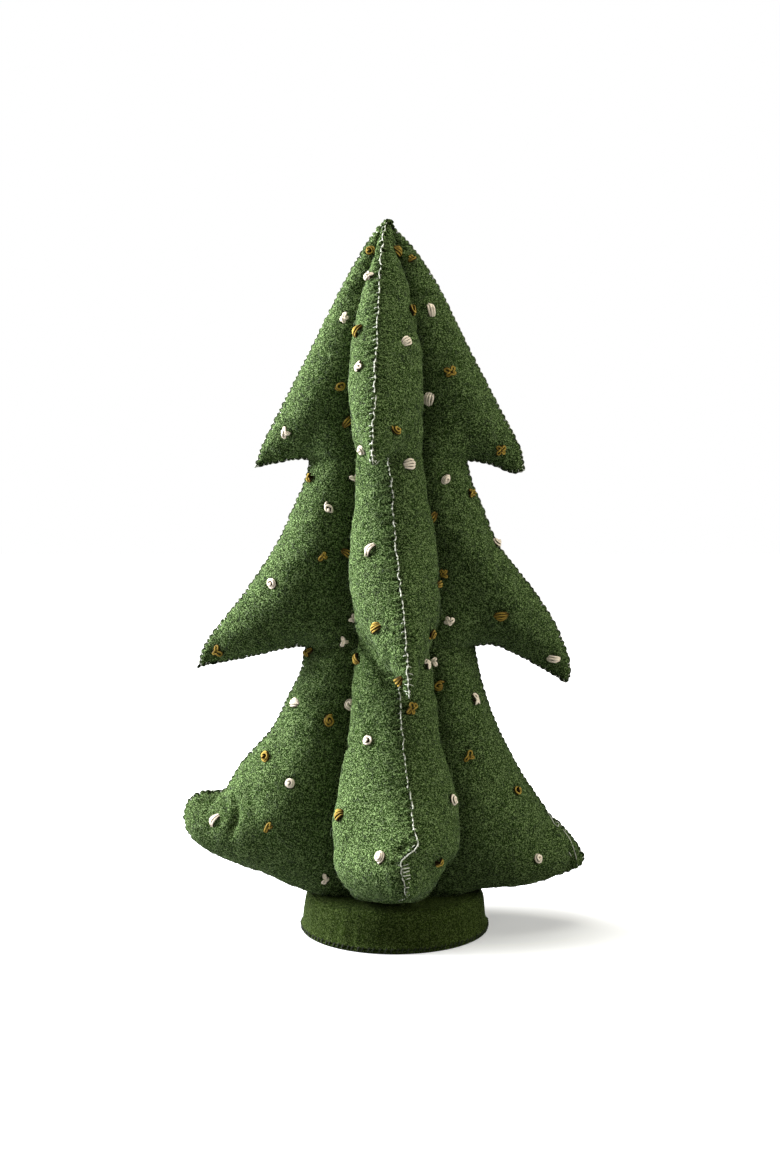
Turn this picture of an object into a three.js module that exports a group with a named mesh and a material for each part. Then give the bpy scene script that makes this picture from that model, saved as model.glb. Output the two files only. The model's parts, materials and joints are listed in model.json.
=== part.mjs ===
// A stuffed felt tree for a table. Four felt panels are each folded down the middle and sewn to their
// neighbours along the outer edges, which makes four wings with three tiers. Each wing is packed with
// stuffing, and a wooden dowel down the middle stands the tree on a weighted foot covered in felt.
// Millimetres, +Z up. The origin is the centre of the foot's underside, and the front wing points to -Y.

import * as THREE from "three";

// Overall sizes
const treeHeight = 381;
const footDiameter = 101.6;
const footHeight = 21;
const feltThickness = 2.2;
const pieceGap = 0.3;

// Outline of a wing: radius from the tree's axis, and height above the table
const crownRadius = 4.2;
const upperTipRadius = 72;
const upperTipHeight = 249.5;
const upperNotchRadius = 42.5;
const upperNotchHeight = 253.5;
const middleTipRadius = 100;
const middleTipHeight = 139;
const middleNotchRadius = 45.6;
const middleNotchHeight = 153.5;
const lowerTipRadius = 107;
const lowerTipHeight = 47;

// How far the fold between two wings stands off the wings' middle planes, down the tree
const crownFoldDepth = 2.8;
const upperFoldDepth = 13;
const middleFoldDepth = 14;
const lowerFoldDepth = 16;

// Half the thickness of a stuffed wing at its fattest, where a tier starts, is fullest and ends
const crownFullness = 3.2;
const upperFullness = 20.3;
const upperNotchFullness = 17.6;
const middleFullness = 22.8;
const middleNotchFullness = 20.6;
const lowerFullness = 32;
const soleFullness = 24;

// Thread, dowel and foot
const threadDiameter = 0.8;
const dowelDiameter = 8;
const dowelPadding = 1.2;
const dowelSocketFloor = 2.5;
const dowelChamfer = 1;
const footTaper = 2.6;
const footShoulder = 3;
const footBulge = 0.6;
const footTopMargin = 2.2;
const weightChamfer = 1.2;

const seamHalf = feltThickness + pieceGap / 2;
const threadRadius = threadDiameter / 2;
const dowelRadius = dowelDiameter / 2;
const footRadius = footDiameter / 2;
const footTopRadius = footRadius - footTaper;
const soleRadius = footTopRadius - footTopMargin;
const soleHeight = footHeight + pieceGap;

// Each tier runs from the notch above it, or the crown, down to the notch below it, or the foot. The edge's
// two Bezier handles are shares of the way out and of the way down; the underside's handle is a share of
// the way out and of the tip's drop. fullShare is where down the tier the wing is fattest, and a fullPace
// over 1 puts the swelling off until nearer there.
const tiers = [
  {
    topRadius: crownRadius,
    topHeight: treeHeight,
    topFold: crownFoldDepth,
    tipRadius: upperTipRadius,
    tipHeight: upperTipHeight,
    notchRadius: upperNotchRadius,
    notchHeight: upperNotchHeight,
    notchFold: upperFoldDepth,
    topFullness: crownFullness,
    fullness: upperFullness,
    notchFullness: upperNotchFullness,
    edgeHandleShares: [0.42, 0.34, 0.78, 0.7],
    undersideHandleShares: [0.45, 0.02],
    fullShare: 0.78,
    fullPace: 1,
    rows: 7,
    innerColumns: 4,
    outerColumns: 4,
  },
  {
    topRadius: upperNotchRadius,
    topHeight: upperNotchHeight,
    topFold: upperFoldDepth,
    tipRadius: middleTipRadius,
    tipHeight: middleTipHeight,
    notchRadius: middleNotchRadius,
    notchHeight: middleNotchHeight,
    notchFold: middleFoldDepth,
    topFullness: upperNotchFullness,
    fullness: middleFullness,
    notchFullness: middleNotchFullness,
    edgeHandleShares: [0.05, 0.36, 0.87, 0.66],
    undersideHandleShares: [0.4, 0.1],
    fullShare: 0.62,
    fullPace: 1.3,
    rows: 7,
    innerColumns: 3,
    outerColumns: 5,
  },
  {
    topRadius: middleNotchRadius,
    topHeight: middleNotchHeight,
    topFold: middleFoldDepth,
    tipRadius: lowerTipRadius,
    tipHeight: lowerTipHeight,
    notchRadius: soleRadius,
    notchHeight: soleHeight,
    notchFold: lowerFoldDepth,
    topFullness: middleNotchFullness,
    fullness: lowerFullness,
    notchFullness: soleFullness,
    edgeHandleShares: [0.06, 0.36, 0.6, 0.72],
    undersideHandleShares: [0.62, 0.3],
    fullShare: 0.74,
    fullPace: 1.8,
    rows: 8,
    innerColumns: 3,
    outerColumns: 5,
  },
];

// The four wings are cut alike, and sewing and stuffing leave each a little different. Radius and height
// shares multiply a tier's tip, and lean shares are how far its tip and the notch below it swing sideways,
// as a share of the tip's radius.
const wings = [
  {
    name: "right",
    turn: 0,
    tipRadiusShares: [1, 0.975, 0.985],
    tipHeightShares: [0.994, 0.975, 0.8],
    tipLeanShares: [0.02, -0.03, 0.03],
    notchLeanShares: [0.01, 0, 0],
  },
  {
    name: "back",
    turn: Math.PI / 2,
    tipRadiusShares: [1, 1.01, 1],
    tipHeightShares: [1, 1, 1.05],
    tipLeanShares: [0.05, -0.06, 0.05],
    notchLeanShares: [0, -0.02, 0],
  },
  {
    name: "left",
    turn: Math.PI,
    tipRadiusShares: [1.008, 1.032, 1.045],
    tipHeightShares: [1.004, 1.025, 1.2],
    tipLeanShares: [-0.02, 0.03, -0.03],
    notchLeanShares: [0, 0.01, 0],
  },
  {
    name: "front",
    turn: (3 * Math.PI) / 2,
    tipRadiusShares: [1, 0.98, 0.98],
    tipHeightShares: [1, 1, 1.15],
    tipLeanShares: [-0.122, 0.09, 0.075],
    notchLeanShares: [-0.014, 0.036, 0.04],
  },
];

const mix = THREE.MathUtils.lerp;
const swung = (share) => Math.sin((share * Math.PI) / 2);
const smooth = THREE.MathUtils.smoothstep;

// The point of a wing's middle surface across a tier, from the fold at 0 to the seam at 1, and down it.
// x is the radius, y the sideways lean and z the height.
function middlePoint(wing, index, across, down) {
  const tier = tiers[index];
  const above = index - 1;
  const notchShare = notchColumnShare(tier);
  const topLean = above < 0 ? 0 : wing.notchLeanShares[above] * tiers[above].tipRadius;
  const tip = new THREE.Vector3(
    tier.tipRadius * wing.tipRadiusShares[index],
    tier.tipRadius * wing.tipLeanShares[index],
    tier.tipHeight * wing.tipHeightShares[index],
  );
  const notch = new THREE.Vector3(
    tier.notchRadius,
    tier.tipRadius * wing.notchLeanShares[index],
    tier.notchHeight,
  );
  const topFold = new THREE.Vector3(tier.topFold, 0, tier.topHeight);
  const notchFold = new THREE.Vector3(tier.notchFold, 0, tier.notchHeight);
  const topSeam = new THREE.Vector3(tier.topRadius, topLean, tier.topHeight);

  const seam = new THREE.CubicBezierCurve3(
    topSeam,
    handle(topSeam, tip, tier.edgeHandleShares[0], tier.edgeHandleShares[1]),
    handle(topSeam, tip, tier.edgeHandleShares[2], tier.edgeHandleShares[3]),
    tip,
  ).getPoint(down);
  const underside = new THREE.QuadraticBezierCurve3(
    notch,
    handle(notch, tip, tier.undersideHandleShares[0], tier.undersideHandleShares[1]),
    tip,
  );
  const bottom =
    across > notchShare
      ? underside.getPoint((across - notchShare) / (1 - notchShare))
      : notchFold.clone().lerp(notch, across / notchShare);
  const top = topFold.clone().lerp(topSeam, across);
  const fold = topFold.clone().lerp(notchFold, down);

  // A patch that meets all four of its bounding curves
  const patch = top.lerp(bottom, down);
  const seamOffset = seam.sub(topSeam.clone().lerp(tip, down)).multiplyScalar(across);
  const foldOffset = fold.sub(topFold.clone().lerp(notchFold, down)).multiplyScalar(1 - across);
  return patch.add(seamOffset).add(foldOffset);
}

// A Bezier handle: a share of the way out from one point to another, and a share of the way down.
function handle(from, to, outShare, downShare) {
  return new THREE.Vector3(
    mix(from.x, to.x, outShare),
    mix(from.y, to.y, downShare),
    mix(from.z, to.z, downShare),
  );
}

// How far across a tier the notch below it lies.
function notchColumnShare(tier) {
  return (tier.notchRadius - tier.notchFold) / (tier.tipRadius - tier.notchFold);
}

// Half the thickness of a stuffed wing. Towards the lower edge it closes down to the next tier's section.
function halfThickness(index, across, down) {
  const tier = tiers[index];
  const fold = mix(tier.topFold, tier.notchFold, down);
  const fullness =
    down < tier.fullShare
      ? mix(tier.topFullness, tier.fullness, swung(Math.pow(down / tier.fullShare, tier.fullPace)))
      : mix(tier.fullness, tier.notchFullness, smooth(down, tier.fullShare, 1));
  const closing = Math.sqrt(1 - Math.pow(down, closingSharpness));
  const whole = sectionHalf(fold, fullness, across);
  const narrow = sectionHalf(fold, fullness, Math.min(across / notchColumnShare(tier), 1));
  return mix(narrow, whole, closing);
}
const closingSharpness = 5;

// A stuffed wing's section: it rises from the fold at 0 to its crest, and rounds down to the seam at 1.
function sectionHalf(fold, fullness, across) {
  if (across < crestShare) return mix(fold, fullness, swung(across / crestShare));
  return mix(fullness, seamHalf, Math.pow((across - crestShare) / (1 - crestShare), crestRoundness));
}
const crestShare = 0.5;
const crestRoundness = 2.1;

// Where the columns of a tier's grid lie across it. One of them meets the notch below.
function columnShares(tier) {
  const notchShare = notchColumnShare(tier);
  const shares = [];
  for (let j = 0; j <= tier.innerColumns; j += 1) shares.push((notchShare * j) / tier.innerColumns);
  for (let j = 1; j <= tier.outerColumns; j += 1) {
    shares.push(mix(notchShare, 1, Math.sin(((j / tier.outerColumns) * Math.PI) / 2)));
  }
  return shares;
}

// Where the rows of a tier's grid lie down it, closer together towards its lower edge.
const rowShares = (tier) =>
  Array.from({ length: tier.rows + 1 }, (_, k) => 1 - Math.pow(1 - k / tier.rows, rowCrowding));
const rowCrowding = 1.5;

// A wing's grid from the crown to the foot: its cells, and the triangles that join their numbers. The row
// at a notch is listed once, and only its stretch inside the notch goes on into the tier below. Seen from
// the wing's -Y side the triangles run anticlockwise.
function wingGrid(wing) {
  const cells = [];
  const triangles = [];
  let above = null;
  tiers.forEach((tier, index) => {
    rowShares(tier).slice(index === 0 ? 0 : 1).forEach((down) => {
      const row = columnShares(tier).map((across, column) => {
        const onSeam = across === 1 || (down === 1 && column >= tier.innerColumns);
        const middle = middlePoint(wing, index, across, down);
        return cells.push({ index, across, down, middle, onSeam, column }) - 1;
      });
      if (above) joinRows(cells, above, row, triangles);
      above = down === 1 ? row.slice(0, tier.innerColumns + 1) : row;
    });
  });
  return { cells, triangles };
}

// Joins two rows of cells with triangles, whatever their counts.
function joinRows(cells, upper, lower, triangles) {
  const reach = (from, to) => cells[from].middle.distanceTo(cells[to].middle);
  let a = 0;
  let b = 0;
  while (a < upper.length - 1 || b < lower.length - 1) {
    const lowerDone = b === lower.length - 1;
    const upperDone = a === upper.length - 1;
    const upperCloser =
      !upperDone && !lowerDone && reach(upper[a + 1], lower[b]) < reach(lower[b + 1], upper[a]);
    if (lowerDone || upperCloser) {
      triangles.push([upper[a], lower[b], upper[a + 1]]);
      a += 1;
    } else {
      triangles.push([upper[a], lower[b], lower[b + 1]]);
      b += 1;
    }
  }
}

// A point of a wing's own frame turned to its place round the tree.
function placed(wing, x, y, z) {
  const c = Math.cos(wing.turn);
  const s = Math.sin(wing.turn);
  return new THREE.Vector3(x * c - y * s, x * s + y * c, z);
}

// A closed solid between two sheets of points that share their triangles. The first sheet faces out.
function solidBetween(outer, inner, triangles) {
  const count = outer.length;
  const faces = [];
  const edges = new Map();
  triangles.forEach(([a, b, c]) => {
    faces.push(a, b, c, count + a, count + c, count + b);
    [[a, b], [b, c], [c, a]].forEach(([from, to]) => edges.set(`${from},${to}`, [from, to]));
  });
  edges.forEach(([from, to]) => {
    if (edges.has(`${to},${from}`)) return;
    faces.push(to, from, count + from, to, count + from, count + to);
  });
  const geometry = new THREE.BufferGeometry().setFromPoints([...outer, ...inner]);
  geometry.setIndex(faces);
  return geometry;
}

// Felt pushed sideways by its own thickness, and more where it slopes, so that it is as thick all over.
function innerHalf(wing, cell) {
  const before = Math.max(cell.across - probeShare, 0);
  const after = Math.min(cell.across + probeShare, 1);
  const rise =
    halfThickness(cell.index, after, cell.down) - halfThickness(cell.index, before, cell.down);
  const run = middlePoint(wing, cell.index, after, cell.down).distanceTo(
    middlePoint(wing, cell.index, before, cell.down),
  );
  const slope = Math.min(Math.hypot(rise, run) / run, steepestFelt);
  const half = halfThickness(cell.index, cell.across, cell.down) - feltThickness * slope;
  return Math.max(half, pieceGap / 2);
}
const probeShare = 0.01;
const steepestFelt = 1.5;

// One felt panel: the facing sides of two neighbouring wings, joined at the fold between them.
function feltPanel(first, second) {
  const outer = [];
  const inner = [];
  const triangles = [];
  const foldNumbers = [];
  [
    { wing: first, side: 1 },
    { wing: second, side: -1 },
  ].forEach(({ wing, side }) => {
    const grid = wingGrid(wing);
    let folds = 0;
    const numbers = grid.cells.map((cell) => {
      const atFold = cell.column === 0;
      if (atFold && side === -1) return foldNumbers[folds++];
      const { x, y, z } = cell.middle;
      const depth = Math.max(x - feltThickness, pieceGap);
      const half = halfThickness(cell.index, cell.across, cell.down);
      outer.push(placed(wing, x, y + side * half, z));
      if (atFold) inner.push(placed(wing, depth, side * depth, z));
      else inner.push(placed(wing, x, y + side * innerHalf(wing, cell), z));
      if (atFold) foldNumbers.push(outer.length - 1);
      return outer.length - 1;
    });
    grid.triangles.forEach(([a, b, c]) => {
      const corners = side === 1 ? [a, c, b] : [a, b, c];
      triangles.push(corners.map((corner) => numbers[corner]));
    });
  });
  return solidBetween(outer, inner, triangles);
}

// The stuffing of one wing: it fills the felt short of the seams, and the wing's quarter round the dowel.
function stuffingWad(wing) {
  const grid = wingGrid(wing);
  const near = [];
  const far = [];
  const triangles = [];
  const add = (x, y, half, z) => {
    near.push(placed(wing, x, y + half, z));
    far.push(placed(wing, x, y - half, z));
    return near.length - 1;
  };

  let cornerRadius = 0;
  let coreAbove = null;
  const numbers = grid.cells.map((cell) => {
    const { x, y, z } = cell.middle;
    if (cell.column === 0) cornerRadius = x - feltThickness - pieceGap;
    if (cornerRadius < leastWadCorner || cell.onSeam) return null;
    if (cell.column > 0) {
      const half = innerHalf(wing, cell) - pieceGap;
      return half < leastWadHalf ? null : add(x, y, half, z);
    }
    const coreRadius = Math.min(dowelRadius + pieceGap, cornerRadius * wadCoreShare);
    const core = add(coreRadius, 0, coreRadius - pieceGap, z);
    const corner = add(cornerRadius, 0, cornerRadius - pieceGap, z);
    if (coreAbove !== null) {
      triangles.push([coreAbove, coreAbove + 1, core], [core, coreAbove + 1, corner]);
    }
    coreAbove = core;
    return corner;
  });
  grid.triangles.forEach(([a, b, c]) => {
    const corners = [a, c, b].map((corner) => numbers[corner]);
    if (!corners.includes(null)) triangles.push(corners);
  });
  return solidBetween(near, far, triangles);
}
const leastWadCorner = pieceGap * 8;
const leastWadHalf = pieceGap * 2;
const wadCoreShare = 0.9;

// The sewn outline of a wing from the crown to the foot, on its middle surface.
function seamOutline(wing) {
  const points = [];
  tiers.forEach((tier, index) => {
    rowShares(tier).slice(index === 0 ? 0 : 1).forEach((down) => {
      points.push(middlePoint(wing, index, 1, down));
    });
    const shares = columnShares(tier);
    for (let j = shares.length - 2; j >= tier.innerColumns; j -= 1) {
      points.push(middlePoint(wing, index, shares[j], 1));
    }
  });
  return points;
}

// A path through given points, which a tube then meets at each of its steps.
class PointPath extends THREE.Curve {
  constructor(points) {
    super();
    this.points = points;
  }

  getPoint(share) {
    const last = this.points.length - 1;
    const at = Math.min(Math.floor(share * last + rounding), last - 1);
    return this.points[at].clone().lerp(this.points[at + 1], share * last - at);
  }

  getPointAt(share) {
    return this.getPoint(share);
  }

  getTangentAt(share) {
    const last = this.points.length - 1;
    const at = Math.round(share * last);
    const before = this.points[Math.max(at - 1, 0)];
    const after = this.points[Math.min(at + 1, last)];
    return after.clone().sub(before).normalize();
  }
}
const rounding = 1e-9;

// The thread that the edge stitches pull along the seam: it lies on the two felt edges, and is fastened off
// under the lowest tier, short of the foot.
function edgeThread(wing) {
  const outline = seamOutline(wing).slice(0, -1);
  const standOff = pieceGap + threadRadius;
  const points = outline.map((point, i) => {
    const before = outline[Math.max(i - 1, 0)];
    const after = outline[Math.min(i + 1, outline.length - 1)];
    const into = point.clone().sub(before).setY(0);
    const out = after.clone().sub(point).setY(0);
    if (i === 0) into.copy(out);
    if (i === outline.length - 1) out.copy(into);
    const along = into.normalize().add(out.normalize());
    const turn = along.length() / 2;
    const normal = new THREE.Vector3(-along.z, 0, along.x).normalize();
    const reach = standOff / Math.max(turn, sharpestTurn);
    const path = point.clone().addScaledVector(normal, reach);
    return placed(wing, path.x, path.y, path.z);
  });
  return tube(points, threadRadius);
}
const sharpestTurn = 0.4;

// A tube with flat ends through a list of points.
function tube(points, radius) {
  const section = new THREE.Shape();
  for (let i = 0; i < tubeSides; i += 1) {
    const angle = (i / tubeSides) * 2 * Math.PI;
    const x = radius * Math.cos(angle);
    const y = radius * Math.sin(angle);
    if (i === 0) section.moveTo(x, y);
    else section.lineTo(x, y);
  }
  section.closePath();
  return new THREE.ExtrudeGeometry(section, {
    steps: points.length - 1,
    extrudePath: new PointPath(points),
  });
}
const tubeSides = 5;

// A turned solid about the tree's axis from a closed profile of [radius, height] points.
function turned(profile) {
  const points = profile.map(([radius, height]) => new THREE.Vector2(radius, height));
  const geometry = new THREE.LatheGeometry([...points, points[0]], roundSegments);
  return geometry.rotateX(Math.PI / 2);
}
const roundSegments = 48;

const material = (color, roughness) =>
  new THREE.MeshStandardMaterial({ color, roughness, metalness: 0 });
const greenFelt = material("#3f5a2e", 1);
const whiteFibre = material("#e4e0d6", 1);
const sageThread = material("#9aa88b", 0.6);
const footFelt = material("#33451f", 1);
const paleWood = material("#c8a878", 0.7);

function piece(name, geometry, finish) {
  const mesh = new THREE.Mesh(geometry, finish);
  mesh.name = name;
  return mesh;
}

const tree = new THREE.Group();

// Felt panels, stuffing and edge threads
wings.forEach((wing, i) => {
  const next = wings[(i + 1) % wings.length];
  const sides = [wing.name, next.name];
  const end = sides.includes("front") ? "front" : "back";
  const side = sides.includes("left") ? "left" : "right";
  tree.add(piece(`felt_panel_${end}_${side}`, feltPanel(wing, next), greenFelt));
  tree.add(piece(`stuffing_${wing.name}_wing`, stuffingWad(wing), whiteFibre));
  tree.add(piece(`edge_thread_${wing.name}_wing`, edgeThread(wing), sageThread));
});

// Dowel: it stands in the weight's socket, and ends where the folds leave no more room for it
const bandFoot = feltThickness + pieceGap;
const socketFloor = bandFoot + dowelSocketFloor;
const dowelTopFold = dowelRadius + dowelPadding + feltThickness;
const dowelTopShare = (dowelTopFold - crownFoldDepth) / (upperFoldDepth - crownFoldDepth);
const dowelTop = mix(treeHeight, upperNotchHeight, dowelTopShare);
const dowelLength = dowelTop - socketFloor - pieceGap;
const dowel = turned([
  [0, 0],
  [dowelRadius - dowelChamfer, 0],
  [dowelRadius, dowelChamfer],
  [dowelRadius, dowelLength - dowelChamfer],
  [dowelRadius - dowelChamfer, dowelLength],
  [0, dowelLength],
]);
const dowelPiece = piece("centre_dowel", dowel, paleWood);
dowelPiece.position.z = socketFloor + pieceGap;
tree.add(dowelPiece);

// Foot: a wooden weight in three pieces of felt, sewn at the lower rim
const bandTop = footHeight - pieceGap;
const bandOuter = [
  [footRadius, bandFoot],
  [footRadius - footBulge, bandFoot + feltThickness],
  [footTopRadius + footBulge, bandTop - footShoulder],
  [footTopRadius, bandTop - footShoulder / 2],
  [footTopRadius - footShoulder / 2, bandTop],
];
const bandInner = [
  [footTopRadius - feltThickness, bandTop],
  [footTopRadius - feltThickness, bandTop - footShoulder],
  [footRadius - footBulge - feltThickness, bandFoot + feltThickness],
  [footRadius - footBulge - feltThickness, bandFoot],
];
tree.add(piece("foot_felt_band", turned([...bandOuter, ...bandInner]), footFelt));

const socketRadius = dowelRadius + pieceGap;
const coverRadius = footTopRadius - feltThickness - pieceGap;
const cover = turned([
  [socketRadius, footHeight - feltThickness],
  [coverRadius, footHeight - feltThickness],
  [coverRadius, footHeight],
  [socketRadius, footHeight],
]);
tree.add(piece("foot_felt_cover", cover, footFelt));

const underside = turned([
  [0, 0],
  [footRadius - feltThickness / 2, 0],
  [footRadius, feltThickness / 2],
  [footRadius, feltThickness],
  [0, feltThickness],
]);
tree.add(piece("foot_felt_underside", underside, footFelt));

const weightTop = footHeight - feltThickness - pieceGap;
const weight = turned([
  [0, bandFoot],
  [coverRadius - weightChamfer, bandFoot],
  [coverRadius, bandFoot + weightChamfer],
  [coverRadius, weightTop - weightChamfer],
  [coverRadius - weightChamfer, weightTop],
  [socketRadius, weightTop],
  [socketRadius, socketFloor],
  [0, socketFloor],
]);
tree.add(piece("foot_weight", weight, paleWood));

const rimRadius = footRadius + pieceGap + threadRadius;
const rimThread = new THREE.TorusGeometry(rimRadius, threadRadius, tubeSides, roundSegments);
const rimPiece = piece("foot_rim_thread", rimThread, sageThread);
rimPiece.position.z = feltThickness + pieceGap / 2;
tree.add(rimPiece);

export default tree;
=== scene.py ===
"""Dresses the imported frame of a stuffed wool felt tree.

Four felt panels are sewn edge to edge into four wings with three tiers, filled with fibre, and stood on a
felt-covered foot. Lengths in the tables are millimetres, and places in the photograph are its pixels. Meshes
are metres, in the frame of the CAD model.
"""

import json
import math

import bmesh
import bpy
import numpy as np
from mathutils import Matrix, Vector, noise
from mathutils.bvhtree import BVHTree
from mathutils.kdtree import KDTree

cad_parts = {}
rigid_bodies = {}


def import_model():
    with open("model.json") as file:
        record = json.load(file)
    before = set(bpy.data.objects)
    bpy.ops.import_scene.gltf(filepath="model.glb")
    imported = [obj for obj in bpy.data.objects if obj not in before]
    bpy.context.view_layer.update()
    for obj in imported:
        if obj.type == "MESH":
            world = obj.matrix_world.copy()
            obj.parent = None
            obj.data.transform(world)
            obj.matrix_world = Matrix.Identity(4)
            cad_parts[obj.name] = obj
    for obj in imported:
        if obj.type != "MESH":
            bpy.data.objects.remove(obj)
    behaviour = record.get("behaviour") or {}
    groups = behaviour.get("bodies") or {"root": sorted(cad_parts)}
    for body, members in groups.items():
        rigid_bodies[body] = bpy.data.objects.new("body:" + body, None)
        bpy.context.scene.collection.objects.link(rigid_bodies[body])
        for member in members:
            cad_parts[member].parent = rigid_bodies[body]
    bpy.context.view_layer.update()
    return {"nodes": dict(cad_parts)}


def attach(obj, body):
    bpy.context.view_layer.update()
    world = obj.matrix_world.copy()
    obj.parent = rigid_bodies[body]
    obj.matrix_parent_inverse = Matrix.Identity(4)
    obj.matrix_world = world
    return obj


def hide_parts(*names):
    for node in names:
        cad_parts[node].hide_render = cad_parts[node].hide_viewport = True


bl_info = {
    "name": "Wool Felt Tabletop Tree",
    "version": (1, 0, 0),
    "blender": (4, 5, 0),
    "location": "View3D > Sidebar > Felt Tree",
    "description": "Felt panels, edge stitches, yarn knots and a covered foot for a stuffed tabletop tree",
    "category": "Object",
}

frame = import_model()

MM = 0.001

# The photograph's view
PHOTO_CENTRE = (390, 585)
PHOTO_FOCAL = 1420.8
PHOTO_LONG_SIDE = 1170
SENSOR_MM = 36
CAMERA_PLACE = Vector((-0.0025, -0.7649, 0.2286))
CAMERA_DIP = 0.055

# Each tier's heights where it starts and ends, how far the folds between two wings stand off their middle
# planes there, and half a wing's thickness where it starts, is fullest and ends. full_share is how far down
# the tier it is fullest and full_pace how late it swells, closing how sharply its lower edge closes, below
# half the thickness that it closes to next to the fold, and crease how much of the crease is below it.
TIERS = [
    {"heights": (381, 253.5), "folds": (0.4, 13), "fullness": (1.3, 19, 16.4), "full_share": 0.78,
     "full_pace": 1.0, "closing": 6, "below": 16.4, "crease": 0.25},
    {"heights": (253.5, 153.5), "folds": (13, 14), "fullness": (16.4, 21.4, 18.8), "full_share": 0.62,
     "full_pace": 1.3, "closing": 6, "below": 18.8, "crease": 1},
    {"heights": (153.5, 21.3), "folds": (14, 16), "fullness": (18.8, 30.6, 29), "full_share": 0.74,
     "full_pace": 1.8, "closing": 9, "below": 15, "crease": 0},
]
CREST_SHARE = 0.5
CREST_ROUNDNESS = 2.1
CREASE_WIDTH = 3
CREASE_FADE = (0.3, 0.7)

# The wings stand a little to the left of the foot.
WING_SWAY = -2.5

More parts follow.
